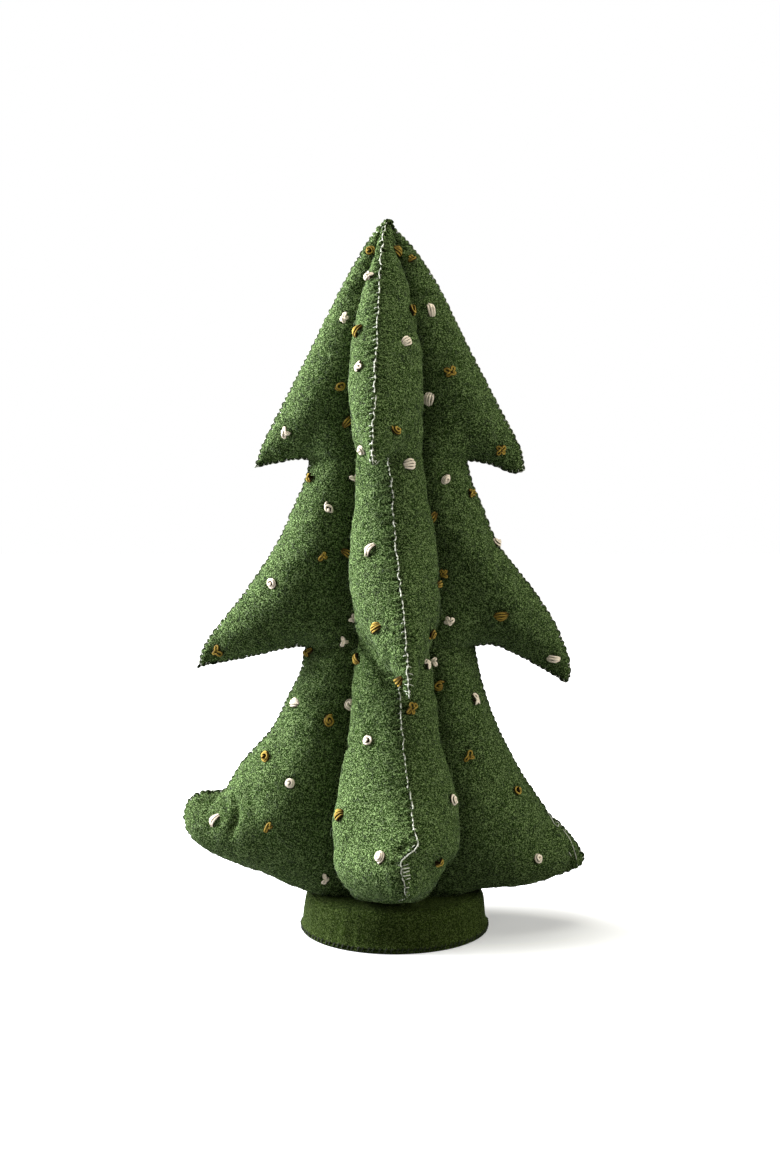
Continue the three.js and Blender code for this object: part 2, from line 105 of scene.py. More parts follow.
# The sewn outline of each wing, tier by tier. Each point is a radius from the tree's axis, a sideways lean
# and a height. An edge runs down to the tier's tip, and an underside runs from the notch below out to that
# tip. turn is the wing's angle round the axis, edge_painted_shade is how strong the painted shade is that
# darkens the felt along its sewn edges, and crease holds the depth of the creases between tiers as a share
# of the thickness, how far they climb towards the fold and over how far the felt under them comes back out.
WINGS = {
    "right": {
        "turn": 0,
        "edge_painted_shade": 1,
        "crease": (0.17, 0, 4),
        "edges": [
            [(0.6, 0, 378), (5.6, 0, 373.4), (13, 0, 365.3), (25.4, 0.4, 346.8), (39.6, 1.2, 318.6),
             (57.4, 1.6, 284.4), (69.6, 1.4, 261), (72.4, 1.2, 248.2)],
            [(41.2, 0.4, 253.5), (44.4, 0, 241), (50, -0.6, 228), (58.6, -1.4, 208), (77.2, -2.2, 184),
             (89.4, -2.8, 165), (96.4, -3, 147), (97, -3, 137.5)],
            [(45.6, 0, 153.5), (49.5, 0.4, 135), (57, 1, 113), (70, 2, 87), (84.6, 2.6, 65),
             (88.4, 2.8, 59.6), (91.6, 3, 57.4), (99.8, 3.4, 48.2), (106.4, 3.2, 38)],
        ],
        "undersides": [
            [(41.2, 0.4, 253.5), (53, 0.6, 251.6), (66, 1, 246.8), (72.4, 1.2, 248.2)],
            [(45.6, 0, 153.5), (56, -0.6, 154), (70, -1.6, 148.3), (87, -2.6, 138.8), (94.5, -3, 134.2),
             (97, -3, 137.5)],
            [(46, 0, 21.3), (60, 0.6, 22.8), (79, 1.6, 25.2), (96, 2.8, 29), (104.4, 3.2, 33),
             (106.4, 3.2, 38)],
        ],
    },
    "back": {
        "turn": math.pi / 2,
        "edge_painted_shade": 1,
        "crease": (0.17, 0, 4),
        "edges": [
            [(1.4, 1.6, 379), (25, 1.4, 346), (48, 2.4, 303), (66, 3.4, 265), (72, 3.6, 249.5)],
            [(42.5, 0, 253.5), (45.5, -0.8, 240), (57, -2.4, 210), (78, -4.6, 182), (96, -6, 152),
             (101, -6, 139)],
            [(45.6, -2, 153.5), (50, -1, 135), (58, 1, 111), (74, 3, 85), (95, 5, 62), (107, 5.4, 49)],
        ],
        "undersides": [
            [(42.5, 0, 253.5), (55, 1.6, 253), (66, 3, 249), (72, 3.6, 249.5)],
            [(45.6, -2, 153.5), (60, -3.4, 152), (80, -5, 145), (96, -6, 138), (101, -6, 139)],
            [(46, 0, 21.3), (62, 1.4, 24), (82, 3.4, 31), (100, 5, 42), (107, 5.4, 49)],
        ],
    },
    "left": {
        "turn": math.pi,
        "edge_painted_shade": 1,
        "crease": (0.17, 0, 4),
        "edges": [
            [(2.8, 0, 380.8), (7.4, 0, 375.8), (13.4, -0.2, 367), (25.9, -0.6, 345.4), (47.4, -1, 303),
             (67, -1.4, 265), (72.7, -1.4, 249.8)],
            [(43, 0, 253.5), (46, 0.4, 242), (53, 1, 226), (61, 1.6, 208.5), (78, 2.2, 183),
             (98.6, 3, 156.5), (103.5, 3.2, 142.2)],
            [(45.6, 0.8, 153.5), (48.6, 0.6, 139.5), (55.4, 0.2, 126), (64, -0.4, 109), (79.4, -1.4, 91.5),
             (87.6, -2.4, 78.6), (91, -2.8, 74.4), (102, -3.2, 73.8), (110, -3.2, 69), (112.8, -3, 59.5)],
        ],
        "undersides": [
            [(43, 0, 253.5), (49, -0.2, 254.2), (61, -0.8, 252.2), (72.7, -1.4, 249.8)],
            [(45.6, 0.8, 153.5), (57, 1, 152.2), (76, 1.8, 147.8), (95, 2.8, 144.2), (103.5, 3.2, 142.2)],
            [(46, 0, 21.3), (53, 0, 23.8), (65, -0.6, 29.2), (81, -1.6, 34.6), (99.5, -2.6, 42.2),
             (109.4, -3, 50), (112.8, -3, 59.5)],
        ],
    },
    "front": {
        "turn": 3 * math.pi / 2,
        "edge_painted_shade": 0.25,
        "crease": (0.3, 15, 10),
        "edges": [
            [(1.8, -1.4, 380.6), (6, -3.2, 374), (25, -5.2, 346), (48, -7, 303), (65, -8.4, 265),
             (71, -8.8, 249.9)],
            [(42.5, -1, 253.5), (45.5, 0.6, 240), (57, 3, 210), (78, 6, 182), (94, 8.6, 152),
             (98, 9, 139.6)],
            [(45.6, 3.6, 153.5), (50, 4.6, 135), (58, 6.4, 111), (73, 9.4, 89), (84, 10.8, 79),
             (92, 12, 72.6), (96.6, 13, 68), (98.6, 11, 65.4), (100, 6.4, 62.4), (101.4, 5, 59),
             (102.4, 6, 54), (102, 7.6, 48.4), (99.6, 7.6, 43.4)],
        ],
        "undersides": [
            [(42.5, -1, 253.5), (54, -4.4, 253), (65, -7.4, 249.4), (71, -8.8, 249.9)],
            [(45.6, 3.6, 153.5), (60, 5, 152), (79, 7, 145), (94, 8.8, 138.4), (98, 9, 139.6)],
            [(46, 0, 25.6), (56, 0, 29), (66, 0.4, 32.4), (80, 2, 36.4), (92, 5, 40), (99.6, 7.6, 43.4)],
        ],
    },
}
PANELS = {
    "felt_panel_back_right": ("right", "back"),
    "felt_panel_back_left": ("back", "left"),
    "felt_panel_front_left": ("left", "front"),
    "felt_panel_front_right": ("front", "right"),
}

# Creases and hollows in the felt, as a depth, a width and the path that the photograph shows in pixels
TUCKS = [
    (4.0, 2.3, [(346, 627), (353, 634), (362, 645), (372, 657), (382, 671), (390, 684)]),
    (3.2, 2.3, [(228, 782), (233, 796), (236, 808), (235, 820), (231, 835)]),
    (1.0, 3.6, [(246, 792), (254, 806), (258, 822)]),
    (2.6, 2.6, [(553, 827), (548, 835), (543, 845), (540, 856)]),
    (2.6, 2.8, [(567, 846), (572, 853), (571, 863), (566, 870)]),
    (2.4, 2.0, [(411, 846), (404, 848), (398, 854), (397, 861), (401, 868)]),
    (0.9, 2.4, [(385, 826), (391, 834), (397, 842), (405, 846)]),
    (1.2, 3.4, [(284, 642), (292, 646), (300, 649), (310, 653)]),
    (1.2, 3.4, [(446, 480), (452, 490), (456, 502)]),
    (1.4, 3.2, [(478, 640), (470, 650), (464, 662), (462, 676)]),
    (1.3, 3.2, [(303, 471), (310, 466), (318, 458)]),
]

# Loose stitches that the photograph shows, as paths in it in pixels
SEEN_THREADS = {
    "right": [[(547, 812), (551, 818), (554, 824), (558, 827), (559, 823), (555, 822)],
              [(563, 830), (569, 838), (573, 847), (576, 857), (577, 866)], [(569, 852), (571, 856)]],
    "front": [[(402, 866), (408, 864)], [(402, 869), (409, 868)], [(403, 873), (409, 871)],
              [(403, 876), (410, 875)], [(404, 880), (410, 878)], [(404, 883), (409, 883)],
              [(412, 847), (415, 845)], [(409, 850), (413, 852)]],
}

# Knots that the photograph shows, by their place in it in pixels
SEEN_KNOTS = {
    "cream": [
        (370, 277), (345, 318), (286, 432), (354, 479), (329, 508), (272, 583), (352, 617), (344, 642),
        (294, 703), (350, 705), (290, 783), (214, 820), (325, 879), (359, 366), (362, 450), (370, 549),
        (368, 741), (380, 857), (407, 341), (410, 464), (426, 663), (434, 662), (453, 800), (431, 310),
        (429, 399), (446, 479), (497, 543), (449, 620), (553, 659), (475, 700), (538, 859),
    ],
    "ochre": [
        (370, 251), (357, 331), (340, 386), (348, 422), (311, 477), (323, 557), (348, 553), (357, 659),
        (217, 651), (309, 653), (329, 721), (266, 756), (269, 827), (375, 628), (399, 681), (339, 815),
        (398, 251), (412, 260), (412, 310), (396, 431), (432, 518), (439, 584), (444, 574), (432, 634),
        (439, 686), (411, 708), (437, 863), (450, 372), (500, 450), (471, 493), (501, 616), (468, 756),
        (517, 791),
    ],
}


# Sizes and colours that a user would change


def hex_to_linear(code):
    """Linear RGB from an sRGB hex colour such as #3f5a2e."""
    channels = [int(code[i:i + 2], 16) / 255 for i in (1, 3, 5)]
    return tuple(c / 12.92 if c <= 0.04045 else ((c + 0.055) / 1.055) ** 2.4 for c in channels)


def length(name, description, default_mm):
    """A length, given in millimetres, as a property of the scene."""
    return bpy.props.FloatProperty(name=name, description=description, default=default_mm * MM,
                                   unit="LENGTH", precision=5)


def colour(name, description, code):
    """A colour, given as a hex code, as a property of the scene."""
    return bpy.props.FloatVectorProperty(name=name, description=description, default=hex_to_linear(code),
                                         subtype="COLOR", min=0, max=1)


class FeltTreeSizes(bpy.types.PropertyGroup):
    """Lengths of the felt, the stitches and the knots"""

    cell: length("Cloth cell", "Spacing of the cloth's points before it is filled", 2.5)
    felt: length("Felt", "Thickness of the felt", 1.7)
    lip: length("Sewn lip", "How far in from a seam the felt's edge is rounded", 2.0)
    seam_half: length("Half seam", "Half the thickness of the two felts at a seam", 1.5)
    swell_cap: length("Swell cap", "The furthest a point may move when the wings are filled", 2.6)
    stitch: length("Stitch spacing", "Distance from one edge stitch to the next", 3.1)
    bite: length("Stitch bite", "How far in from the edge a stitch enters the felt", 1.5)
    thread: length("Thread", "Diameter of the edge thread", 0.66)
    yarn: length("Yarn", "Diameter of the knots' yarn", 1.4)
    knot: length("Knot", "Radius of a knot at the middle of its yarn", 2.6)
    dimple: length("Dimple", "How deep a knot pulls the felt in", 0.9)
    fibre: length("Stray fibre", "Thickness that a stray wool fibre is drawn at", 0.24)


class FeltTreeColours(bpy.types.PropertyGroup):
    """Colours of the felt, the thread, the yarn and what is inside"""

    felt: colour("Felt", "Middle green of the wings' felt", "#1b2e09")
    # felt_dark also colours the painted shade along the sewn edges
    felt_dark: colour("Felt shade", "Green between the felt's fibres", "#060b04")
    felt_fibre: colour("Felt fibre", "Pale fibres on the wings' felt", "#7d9461")
    foot: colour("Foot felt", "Middle green of the foot's felt", "#26350b")
    # The foot's pale fibres are much darker than the wings', partly for the foot's darker felt and partly as
    # painted shade
    foot_fibre: colour("Foot fibre", "Pale fibres on the foot's felt", "#4f5d34")
    thread: colour("Thread", "Edge thread", "#d0d4c7")
    cream: colour("Cream yarn", "Pale knots", "#fdefdf")
    ochre: colour("Ochre yarn", "Golden knots", "#b39746")
    stuffing: colour("Stuffing", "Fibre fill", "#e4e0d6")
    wood: colour("Wood", "Dowel and weight", "#c8a878")


WING_TINT = "#283f12"
FOOT_TINT = "#26350b"
RIM_THREAD = "#19210f"


# The stuffed wings' surface, in a wing's own frame: x is the radius, y the lean and z the height


def smooth_curve(points, count=300):
    """Evenly spaced points along a smooth curve through given ones."""
    knots = np.array(points, float)
    ends = np.vstack([2 * knots[0] - knots[1], knots, 2 * knots[-1] - knots[-2]])
    at = np.linspace(0, len(knots) - 1, count * 4)
    first = np.minimum(at.astype(int), len(knots) - 2)
    t = (at - first)[:, None]
    a, b, c, d = (ends[first + k] for k in range(4))
    curve = (2 * b + (c - a) * t + (2 * a - 5 * b + 4 * c - d) * t**2 + (3 * b - a - 3 * c + d) * t**3) / 2
    return even_steps(curve, count)


def path_length(points):
    """Distance along a path at each of its points."""
    return np.concatenate([[0], np.cumsum(np.linalg.norm(np.diff(points, axis=0), axis=1))])


def even_steps(points, count):
    """The same path with evenly spaced points."""
    along = path_length(points)
    at = np.linspace(0, along[-1], count)
    return np.stack([np.interp(at, along, points[:, k]) for k in range(3)], axis=1)


def read_curve(curve, share):
    """Points of an evenly spaced curve at given shares of its length."""
    at = np.linspace(0, 1, len(curve))
    return np.stack([np.interp(share, at, curve[:, k]) for k in range(3)], axis=-1)


def mix(a, b, share):
    """The value a share of the way from a to b."""
    return a + (b - a) * share


def smooth_step(value, low=0.0, high=1.0):
    """0 below low, 1 above high, and a smooth rise between."""
    t = np.clip((value - low) / (high - low), 0, 1)
    return t * t * (3 - 2 * t)


def notch_share(tier, edge, underside):
    """How far across a tier the notch below it lies."""
    fold = tier["folds"][1]
    return (underside[0][0] - fold) / (edge[-1][0] - fold)


def middle_points(tier, edge, underside, across, down):
    """A wing's middle surface, from the fold at 0 to the seam at 1 across, and down a tier."""
    notch_at = notch_share(tier, edge, underside)
    top_fold, notch_fold = (np.array([tier["folds"][k], 0, tier["heights"][k]]) for k in (0, 1))
    across = across[..., None]
    down = down[..., None]
    inner = mix(notch_fold, underside[0], np.minimum(across / notch_at, 1))
    outer = read_curve(underside, np.clip((across[..., 0] - notch_at) / (1 - notch_at), 0, 1))
    bottom = np.where(across > notch_at, outer, inner)
    patch = mix(mix(top_fold, edge[0], across), bottom, down)
    pull = read_curve(edge, down[..., 0]) - mix(edge[0], edge[-1], down)
    return patch + pull * across


def section_half(fold, fullness, seam_half, across):
    """Half the thickness of a stuffed wing's section, up from the fold to its crest and down to the seam."""
    rise = mix(fold, fullness, np.sin(np.minimum(across / CREST_SHARE, 1) * math.pi / 2))
    past = np.clip((across - CREST_SHARE) / (1 - CREST_SHARE), 0, 1)
    return np.where(across < CREST_SHARE, rise, mix(fullness, seam_half, past**CREST_ROUNDNESS))


def half_thickness(tier, edge, underside, seam_half, across, down):
    """Half the thickness of a wing, closing at a tier's lower edge to the section of the next tier."""
    start, full, end = tier["fullness"]
    fold = mix(*tier["folds"], down)
    swell = np.sin(np.minimum(down / tier["full_share"], 1) ** tier["full_pace"] * math.pi / 2)
    ebb = smooth_step(down, tier["full_share"], 1)
    fullness = np.where(down < tier["full_share"], mix(start, full, swell), mix(full, end, ebb))
    closing = np.sqrt(np.maximum(1 - down**tier["closing"], 0))
    whole = section_half(fold, fullness, seam_half, across)
    narrowed = np.minimum(across / notch_share(tier, edge, underside), 1)
    return mix(section_half(fold, tier["below"], seam_half, narrowed), whole, closing)


def crease_depth(across, above, depth_share, rise, overhang):
    """The share of its thickness that a wing loses to the crease between two tiers.

    above is the height above the tiers' boundary. Away from the seam the crease climbs by rise, and the felt
    under it comes back out over the overhang.
    """
    away = above - rise * (1 - across)
    width = np.where(away > 0, CREASE_WIDTH, overhang)
    return depth_share * np.exp(-(away / width)**2) * smooth_step(across, *CREASE_FADE)


class Wing:
    """A wing's surface as functions of its tier and the shares across and down it."""

    def __init__(self, name, seam_half):
        record = WINGS[name]
        self.turn = record["turn"]
        self.crease = record["crease"]
        self.edge_painted_shade = record["edge_painted_shade"]
        self.seam_half = seam_half
        self.edges = [smooth_curve(points) for points in record["edges"]]
        self.undersides = [smooth_curve(points) for points in record["undersides"]]

    def surface(self, index, across, down):
        """Points on the +Y side, and the middle surface's points under them."""
        across, down = np.broadcast_arrays(np.asarray(across, float), np.asarray(down, float))
        shape = TIERS[index], self.edges[index], self.undersides[index]
        middle = middle_points(*shape, across, down)
        half = half_thickness(*shape, self.seam_half, across, down)
        height = TIERS[index]["heights"][0] - TIERS[index]["heights"][1]
        narrowed = np.minimum(across / notch_share(*shape), 1)
        lost = TIERS[index]["crease"] * crease_depth(narrowed, (1 - down) * height, *self.crease)
        half = half * (1 - lost)
        if index > 0:
            lost = TIERS[index - 1]["crease"] * crease_depth(across, -down * height, *self.crease)
            half = half * (1 - lost)
        points = middle.copy()
        points[..., 1] += half
        return points, middle

    def turned(self, points):
        """Points or directions of the wing's own frame turned round the tree's axis."""
        c, s = math.cos(self.turn), math.sin(self.turn)
        x, y, z = points[..., 0], points[..., 1], points[..., 2]
        return np.stack([x * c - y * s, x * s + y * c, z], axis=-1)

    def place(self, points):
        """Points of the wing's own frame turned to their place in the tree."""
        return self.turned(points) + np.array([WING_SWAY, 0, 0])

    def seam(self):
        """The whole sewn outline from the crown down to the foot, every quarter millimetre."""
        pieces = []
        for edge, underside in zip(self.edges, self.undersides):
            pieces += [edge, underside[::-1][1:]]
        line = np.vstack(pieces)
        return even_steps(line, int(path_length(line)[-1] / SEAM_STEP))


SEAM_STEP = 0.25
ROW_SAMPLES = 1200
COLUMN_SAMPLES = 400
MEASURED_COLUMNS = (0.55, 0.8, 0.96)


def row_shares(wings, index, cell):
    """How far down a tier each row of cloth lies, as close together as the longest wing needs."""
    at = np.linspace(0, 1, ROW_SAMPLES)
    spans = []
    for wing in wings:
        for across in MEASURED_COLUMNS:
            spans.append(path_length(wing.surface(index, across, at)[0]))
    along = np.maximum.reduce([np.diff(span) for span in spans])
    along = np.concatenate([[0], np.cumsum(along)])
    rows = int(round(along[-1] / cell))
    return np.interp(np.linspace(0, along[-1], rows + 1), along, at)


def column_shares(wing, index, down, cell, low=0.0, high=1.0):
    """Shares across a row from low to high, spaced evenly on the wing's surface."""
    at = np.linspace(low, high, COLUMN_SAMPLES)
    along = path_length(wing.surface(index, at, down)[0])
    count = max(int(round(along[-1] / cell)), 2)
    return np.interp(np.linspace(0, along[-1], count + 1), along, at)


def wing_cloth(wing, rows, cell):
    """A wing's cloth: each point's tier, share across and share down, and the triangles that join them.

    rows holds each tier's shares down. All wings have the same ones, so that they meet at their folds.
    """
    points, shares, triangles = [], [], []
    above = None
    for index, tier in enumerate(TIERS):
        notch_at = notch_share(tier, wing.edges[index], wing.undersides[index])
        for down in rows[index][0 if index == 0 else 1:]:
            if down == 1:
                inner = column_shares(wing, index, down, cell, 0, notch_at)
                outer = column_shares(wing, index, down, cell, notch_at, 1)[1:]
                across = np.concatenate([inner, outer])
            else:
                across = column_shares(wing, index, down, cell)
            start = len(points)
            points += wing.surface(index, across, down)[0].tolist()
            shares += [(index, a, down) for a in across]
            row = list(range(start, len(points)))
            if above:
                join_rows(points, above, row, triangles)
            above = row[:len(inner)] if down == 1 else row
    return np.array(shares), triangles


def join_rows(points, upper, lower, triangles):
    """Joins two rows of points with triangles, whatever their counts, by the shorter diagonal each time."""
    a = b = 0
    while a < len(upper) - 1 or b < len(lower) - 1:
        if b == len(lower) - 1:
            step_upper = True
        elif a == len(upper) - 1:
            step_upper = False
        else:
            step_upper = (math.dist(points[upper[a + 1]], points[lower[b]])
                          < math.dist(points[lower[b + 1]], points[upper[a]]))
        if step_upper:
            triangles.append((upper[a], lower[b], upper[a + 1]))
            a += 1
        else:
            triangles.append((upper[a], lower[b], lower[b + 1]))
            b += 1


def panel_cloth(first, second, rows, cell):
    """The outer face of one felt panel: two neighbouring wings' facing sides, joined at the fold between.

    Returns points, triangles and the numbers of the points on a seam or fold, which the filling can't move.
    """
    points, triangles, held, fold_numbers = [], [], [], []
    for wing, side in ((first, 1), (second, -1)):
        shares, cells = wing_cloth(wing, rows, cell)
        placed = np.zeros((len(shares), 3))
        for index in range(len(TIERS)):
            here = shares[:, 0] == index
            surface, middle = wing.surface(index, shares[here, 1], shares[here, 2])
            surface[:, 1] = middle[:, 1] + side * (surface[:, 1] - middle[:, 1])
            placed[here] = wing.place(surface)
        folds = 0
        numbers = []
        for (index, across, down), point in zip(shares, placed):
            if across == 0 and side == -1:
                numbers.append(fold_numbers[folds])
                folds += 1
                continue
            numbers.append(len(points))
            points.append(point)
            under = down == 1 and across >= notch_share(
                TIERS[int(index)], wing.edges[int(index)], wing.undersides[int(index)]) - 1e-9
            if across in (0, 1) or under or (index == 0 and down == 0):
                held.append(numbers[-1])
            if across == 0:
                fold_numbers.append(numbers[-1])
        for a, b, c in cells:
            corners = (a, c, b) if side == 1 else (a, b, c)
            triangles.append(tuple(numbers[corner] for corner in corners))
    return np.array(points), triangles, sorted(set(held))


# Meshes


def make_piece(name, points, faces, material=None):
    """A mesh object at the origin from points in millimetres."""
    mesh = bpy.data.meshes.new(name)
    mesh.from_pydata((np.asarray(points, float) * MM).tolist(), [], [tuple(face) for face in faces])
    mesh.update()
    piece = bpy.data.objects.new(name, mesh)
    bpy.context.scene.collection.objects.link(piece)
    if material:
        mesh.materials.append(material)
    return piece


def points_of(piece):
    """A piece's points in millimetres."""
    co = np.empty(len(piece.data.vertices) * 3)
    piece.data.vertices.foreach_get("co", co)
    return co.reshape(-1, 3) / MM


def move_points(piece, points):
    """Sets a piece's points, in millimetres."""
    piece.data.vertices.foreach_set("co", (points * MM).ravel())
    piece.data.update()


def pick_only(piece):
    """Makes a piece the only one selected, and active."""
    bpy.ops.object.select_all(action="DESELECT")
    piece.select_set(True)
    bpy.context.view_layer.objects.active = piece


def normals_of(piece):
    """A piece's normals at its points."""
    normals = np.empty(len(piece.data.vertices) * 3)
    piece.data.vertex_normals.foreach_get("vector", normals)
    return normals.reshape(-1, 3)


def lumps(points, size, seed):
    """Smooth noise from -1 to 1 at points in millimetres, with bumps of about the given size."""
    shift = Vector((seed * 17.3, seed * 5.9, seed * 11.1))
    return np.array([noise.noise(Vector(point) / size + shift) for point in points])


def uneven(piece, seams):
    """Gives a panel the soft dents of hand stuffing, away from its seams. Returns its points and normals."""
    points, normals = points_of(piece), normals_of(piece)
    to_seam = np.array([nearest_seam(seams, point)[2] for point in points])
    dents = DENT_DEPTH * lumps(points, DENT_SIZE, 2)
    dents = dents + SMALL_DENT_DEPTH * lumps(points, SMALL_DENT_SIZE, 7)
    move_points(piece, points + normals * (dents * smooth_step(to_seam, *DENT_MARGIN))[:, None])
    return points_of(piece), normals_of(piece)


DENT_DEPTH = 1.5
DENT_SIZE = 26
SMALL_DENT_DEPTH = DENT_DEPTH * 0.5
SMALL_DENT_SIZE = DENT_SIZE * 0.45
DENT_MARGIN = (2, 14)


def fill_with_stuffing(piece, held, cap):
    """Swells a panel's cloth against its seams and folds, as stuffing does, by at most cap."""
    start = points_of(piece)
    group = piece.vertex_groups.new(name="held")
    group.add(held, 1.0, "REPLACE")
    pick_only(piece)
    bpy.ops.object.modifier_add(type="CLOTH")
    cloth = piece.modifiers[-1]
    settings = cloth.settings
    settings.quality = CLOTH_QUALITY
    settings.mass = CLOTH_MASS
    settings.tension_stiffness = settings.compression_stiffness = CLOTH_STIFFNESS
    settings.shear_stiffness = CLOTH_SHEAR
    settings.bending_stiffness = CLOTH_BENDING
    settings.vertex_group_mass = "held"
    settings.shrink_min = -CLOTH_SPARE_SHARE
    settings.use_pressure = True
    settings.uniform_pressure_force = CLOTH_PRESSURE
    settings.effector_weights.gravity = 0
    cloth.collision_settings.use_collision = False
    cloth.point_cache.frame_start = 1
    cloth.point_cache.frame_end = CLOTH_FRAMES
    for step in range(1, CLOTH_FRAMES + 1):
        bpy.context.scene.frame_set(step)
    bpy.ops.object.modifier_apply(modifier=cloth.name)
    bpy.context.scene.frame_set(1)
    move = points_of(piece) - start
    far = np.linalg.norm(move, axis=1, keepdims=True)
    move *= cap * np.tanh(far / cap) / np.maximum(far, 1e-9)
    move_points(piece, start + move)
    return move


# The cloth's values, found by trying them on panels of this size
CLOTH_QUALITY = 5
CLOTH_MASS = 0.05
CLOTH_STIFFNESS = 15
CLOTH_SHEAR = 5
CLOTH_BENDING = 2
CLOTH_SPARE_SHARE = 0.028
CLOTH_PRESSURE = 5000
CLOTH_FRAMES = 20


class SeamLine:
    """A wing's sewn outline in its place, with the directions out, across and along, and its stitches."""

    def __init__(self, wing, spacing, seed):
        line = wing.seam()
        # How strong the painted shade is that darkens the felt along this seam
        self.shade = wing.edge_painted_shade
        self.points = wing.place(line)
        along = np.gradient(line, axis=0)
        along[:, 1] = 0
        along /= np.linalg.norm(along, axis=1, keepdims=True)
        out = np.stack([-along[:, 2], np.zeros(len(line)), along[:, 0]], axis=1)
        self.out = wing.turned(out)
        self.across = wing.turned(np.tile([0.0, 1.0, 0.0], (len(line), 1)))
        self.along = wing.turned(along)
        random = np.random.RandomState(seed)
        ends = np.arange(spacing / 2, len(line) * SEAM_STEP - spacing, spacing)
        ends = ends + random.uniform(-STITCH_JITTER, STITCH_JITTER, len(ends)) * spacing
        self.stitches = np.clip((ends / SEAM_STEP).astype(int), 1, len(line) - 2)
        at = np.arange(len(line)) * SEAM_STEP
        pull = random.uniform(*STITCH_PULL, len(ends))
        self.pinch = (pull * np.exp(-((at[:, None] - ends[None, :]) / PINCH_WIDTH)**2)).max(axis=1)
        self.tree = KDTree(len(self.points))
        for number, point in enumerate(self.points):
            self.tree.insert(point, number)
        self.tree.balance()


STITCH_JITTER = 0.3
STITCH_PULL = (0.3, 1.1)
PINCH_WIDTH = 0.7
SEAM_REACH = 6.0


def nearest_seam(seams, point):
    """The seam next to a point, the number of the seam's point there, and how far it is."""
    hits = [(seam.tree.find(point), seam) for seam in seams]
    (_, at, far), seam = min(hits, key=lambda hit: hit[0][2])
    return seam, at, far


def split_edges(mesh_edit, edges):
    """Halves edges of a mesh, and cuts what lies between them into triangles."""
    bmesh.ops.subdivide_edges(mesh_edit, edges=edges, cuts=1, use_grid_fill=True)
    bmesh.ops.triangulate(mesh_edit, faces=[face for face in mesh_edit.faces if len(face.verts) > 3])


def refine(piece, seams):
    """Halves a panel's cells, smooths them, and halves them once more along its seams."""
    edit = bmesh.new()
    edit.from_mesh(piece.data)
    split_edges(edit, edit.edges[:])
    inside = [vert for vert in edit.verts if not vert.is_boundary]
    for _ in range(2):
        bmesh.ops.smooth_vert(edit, verts=inside, factor=0.5,
                              use_axis_x=True, use_axis_y=True, use_axis_z=True)
    near = {vert for vert in edit.verts if nearest_seam(seams, vert.co / MM)[2] < BORDER_WIDTH}
    split_edges(edit, [edge for edge in edit.edges if edge.verts[0] in near and edge.verts[1] in near])
    edit.to_mesh(piece.data)
    edit.free()


BORDER_WIDTH = 3.6


def sew_edges(piece, seams, sizes):
    """Rounds a panel's edges over the seam and draws them in at each stitch, so the felt bulges between."""
    points = points_of(piece)
    lip = sizes.lip / MM
    for number, point in enumerate(points):
        seam, at, far = nearest_seam(seams, point)
        if far > SEAM_REACH:
            continue
        away = point - seam.points[at]
        half = float(away @ seam.across[at])
        inward = max(float(-(away @ seam.out[at])), 0.0)
        pinch = seam.pinch[at] * math.exp(-(inward / PINCH_REACH)**2)
        rounding = math.sqrt(max(1 - (1 - min(inward / lip, 1))**2, 0))
        target = half * rounding * (1 - PINCH_THINNING * pinch)
        target = math.copysign(max(abs(target), SEAM_GAP), half if half else 1)
        draw = PINCH_DEPTH * pinch - PUFF * (1 - seam.pinch[at]) * math.exp(-(inward / PUFF_REACH)**2)
        points[number] += seam.across[at] * (target - half) - seam.out[at] * draw
    move_points(piece, points)


PINCH_DEPTH = 1.2
PINCH_REACH = 2.2
PINCH_THINNING = 0.3
PUFF = 0.55
PUFF_REACH = 1.5
SEAM_GAP = 0.06


def inner_face(points, normals, seams, thickness):
    """The inner face of a panel: its cloth set in by the felt's thickness, kept off the wings' middles."""
    inner = points - normals * thickness
    for number, point in enumerate(points):
        seam, at, far = nearest_seam(seams, point)
        if far > SEAM_REACH:
            continue
        side = 1 if (point - seam.points[at]) @ seam.across[at] >= 0 else -1
        half = side * ((inner[number] - seam.points[at]) @ seam.across[at])
        if half < SEAM_GAP:
            inner[number] += seam.across[at] * side * (SEAM_GAP - half)
    return inner


def boundary_steps(triangles):
    """The next point round the rim, for each point on it."""
    steps = {}
    edges = {(a, b) for tri in triangles for a, b in zip(tri, tri[1:] + tri[:1])}
    for a, b in edges:
        if (b, a) not in edges:
            steps[a] = b
    return steps


def close_panel(piece, cloth_points, cloth_normals, cloth_triangles, seams, thickness):
    """Gives a panel its inner face and joins the two round the rim, so that it is a closed solid."""
    outer = points_of(piece)
    fine = [tuple(face.vertices) for face in piece.data.polygons]
    inner = inner_face(cloth_points, cloth_normals, seams, thickness)
    shift = len(outer)
    faces = fine + [(shift + a, shift + c, shift + b) for a, b, c in cloth_triangles]
    fine_steps = boundary_steps(fine)
    for start, end in boundary_steps(cloth_triangles).items():
        at = start
        while at != end:
            faces.append((fine_steps[at], at, shift + start))
            at = fine_steps[at]
        faces.append((end, shift + start, shift + end))
    mesh = bpy.data.meshes.new(piece.name)
    mesh.from_pydata((np.vstack([outer, inner]) * MM).tolist(), [], faces)
    mesh.update()
    old = piece.data
    for material in old.materials:
        mesh.materials.append(material)
    piece.data = mesh
    bpy.data.meshes.remove(old)
    return len(outer)


# Materials


def add_node(tree, kind, inputs=None, output=0, **settings):
    """Adds a node with its settings, and its inputs set to values or linked to outputs. Gives one output."""
    node = tree.nodes.new("ShaderNode" + kind)
    for name, value in settings.items():
        setattr(node, name, value)
    for socket, value in (inputs or {}).items():
        if isinstance(value, bpy.types.NodeSocket):
            tree.links.new(value, node.inputs[socket])
        else:
            node.inputs[socket].default_value = value
    return node.outputs[output] if node.outputs else None


# What a Mix node needs to mix colours. Its inputs 6 and 7 are the colours, and its output 2 is the result.
MIX_COLOURS = {"output": 2, "data_type": "RGBA"}
SMOOTH = {"interpolation_type": "SMOOTHSTEP"}
WHITE = (1, 1, 1, 1)


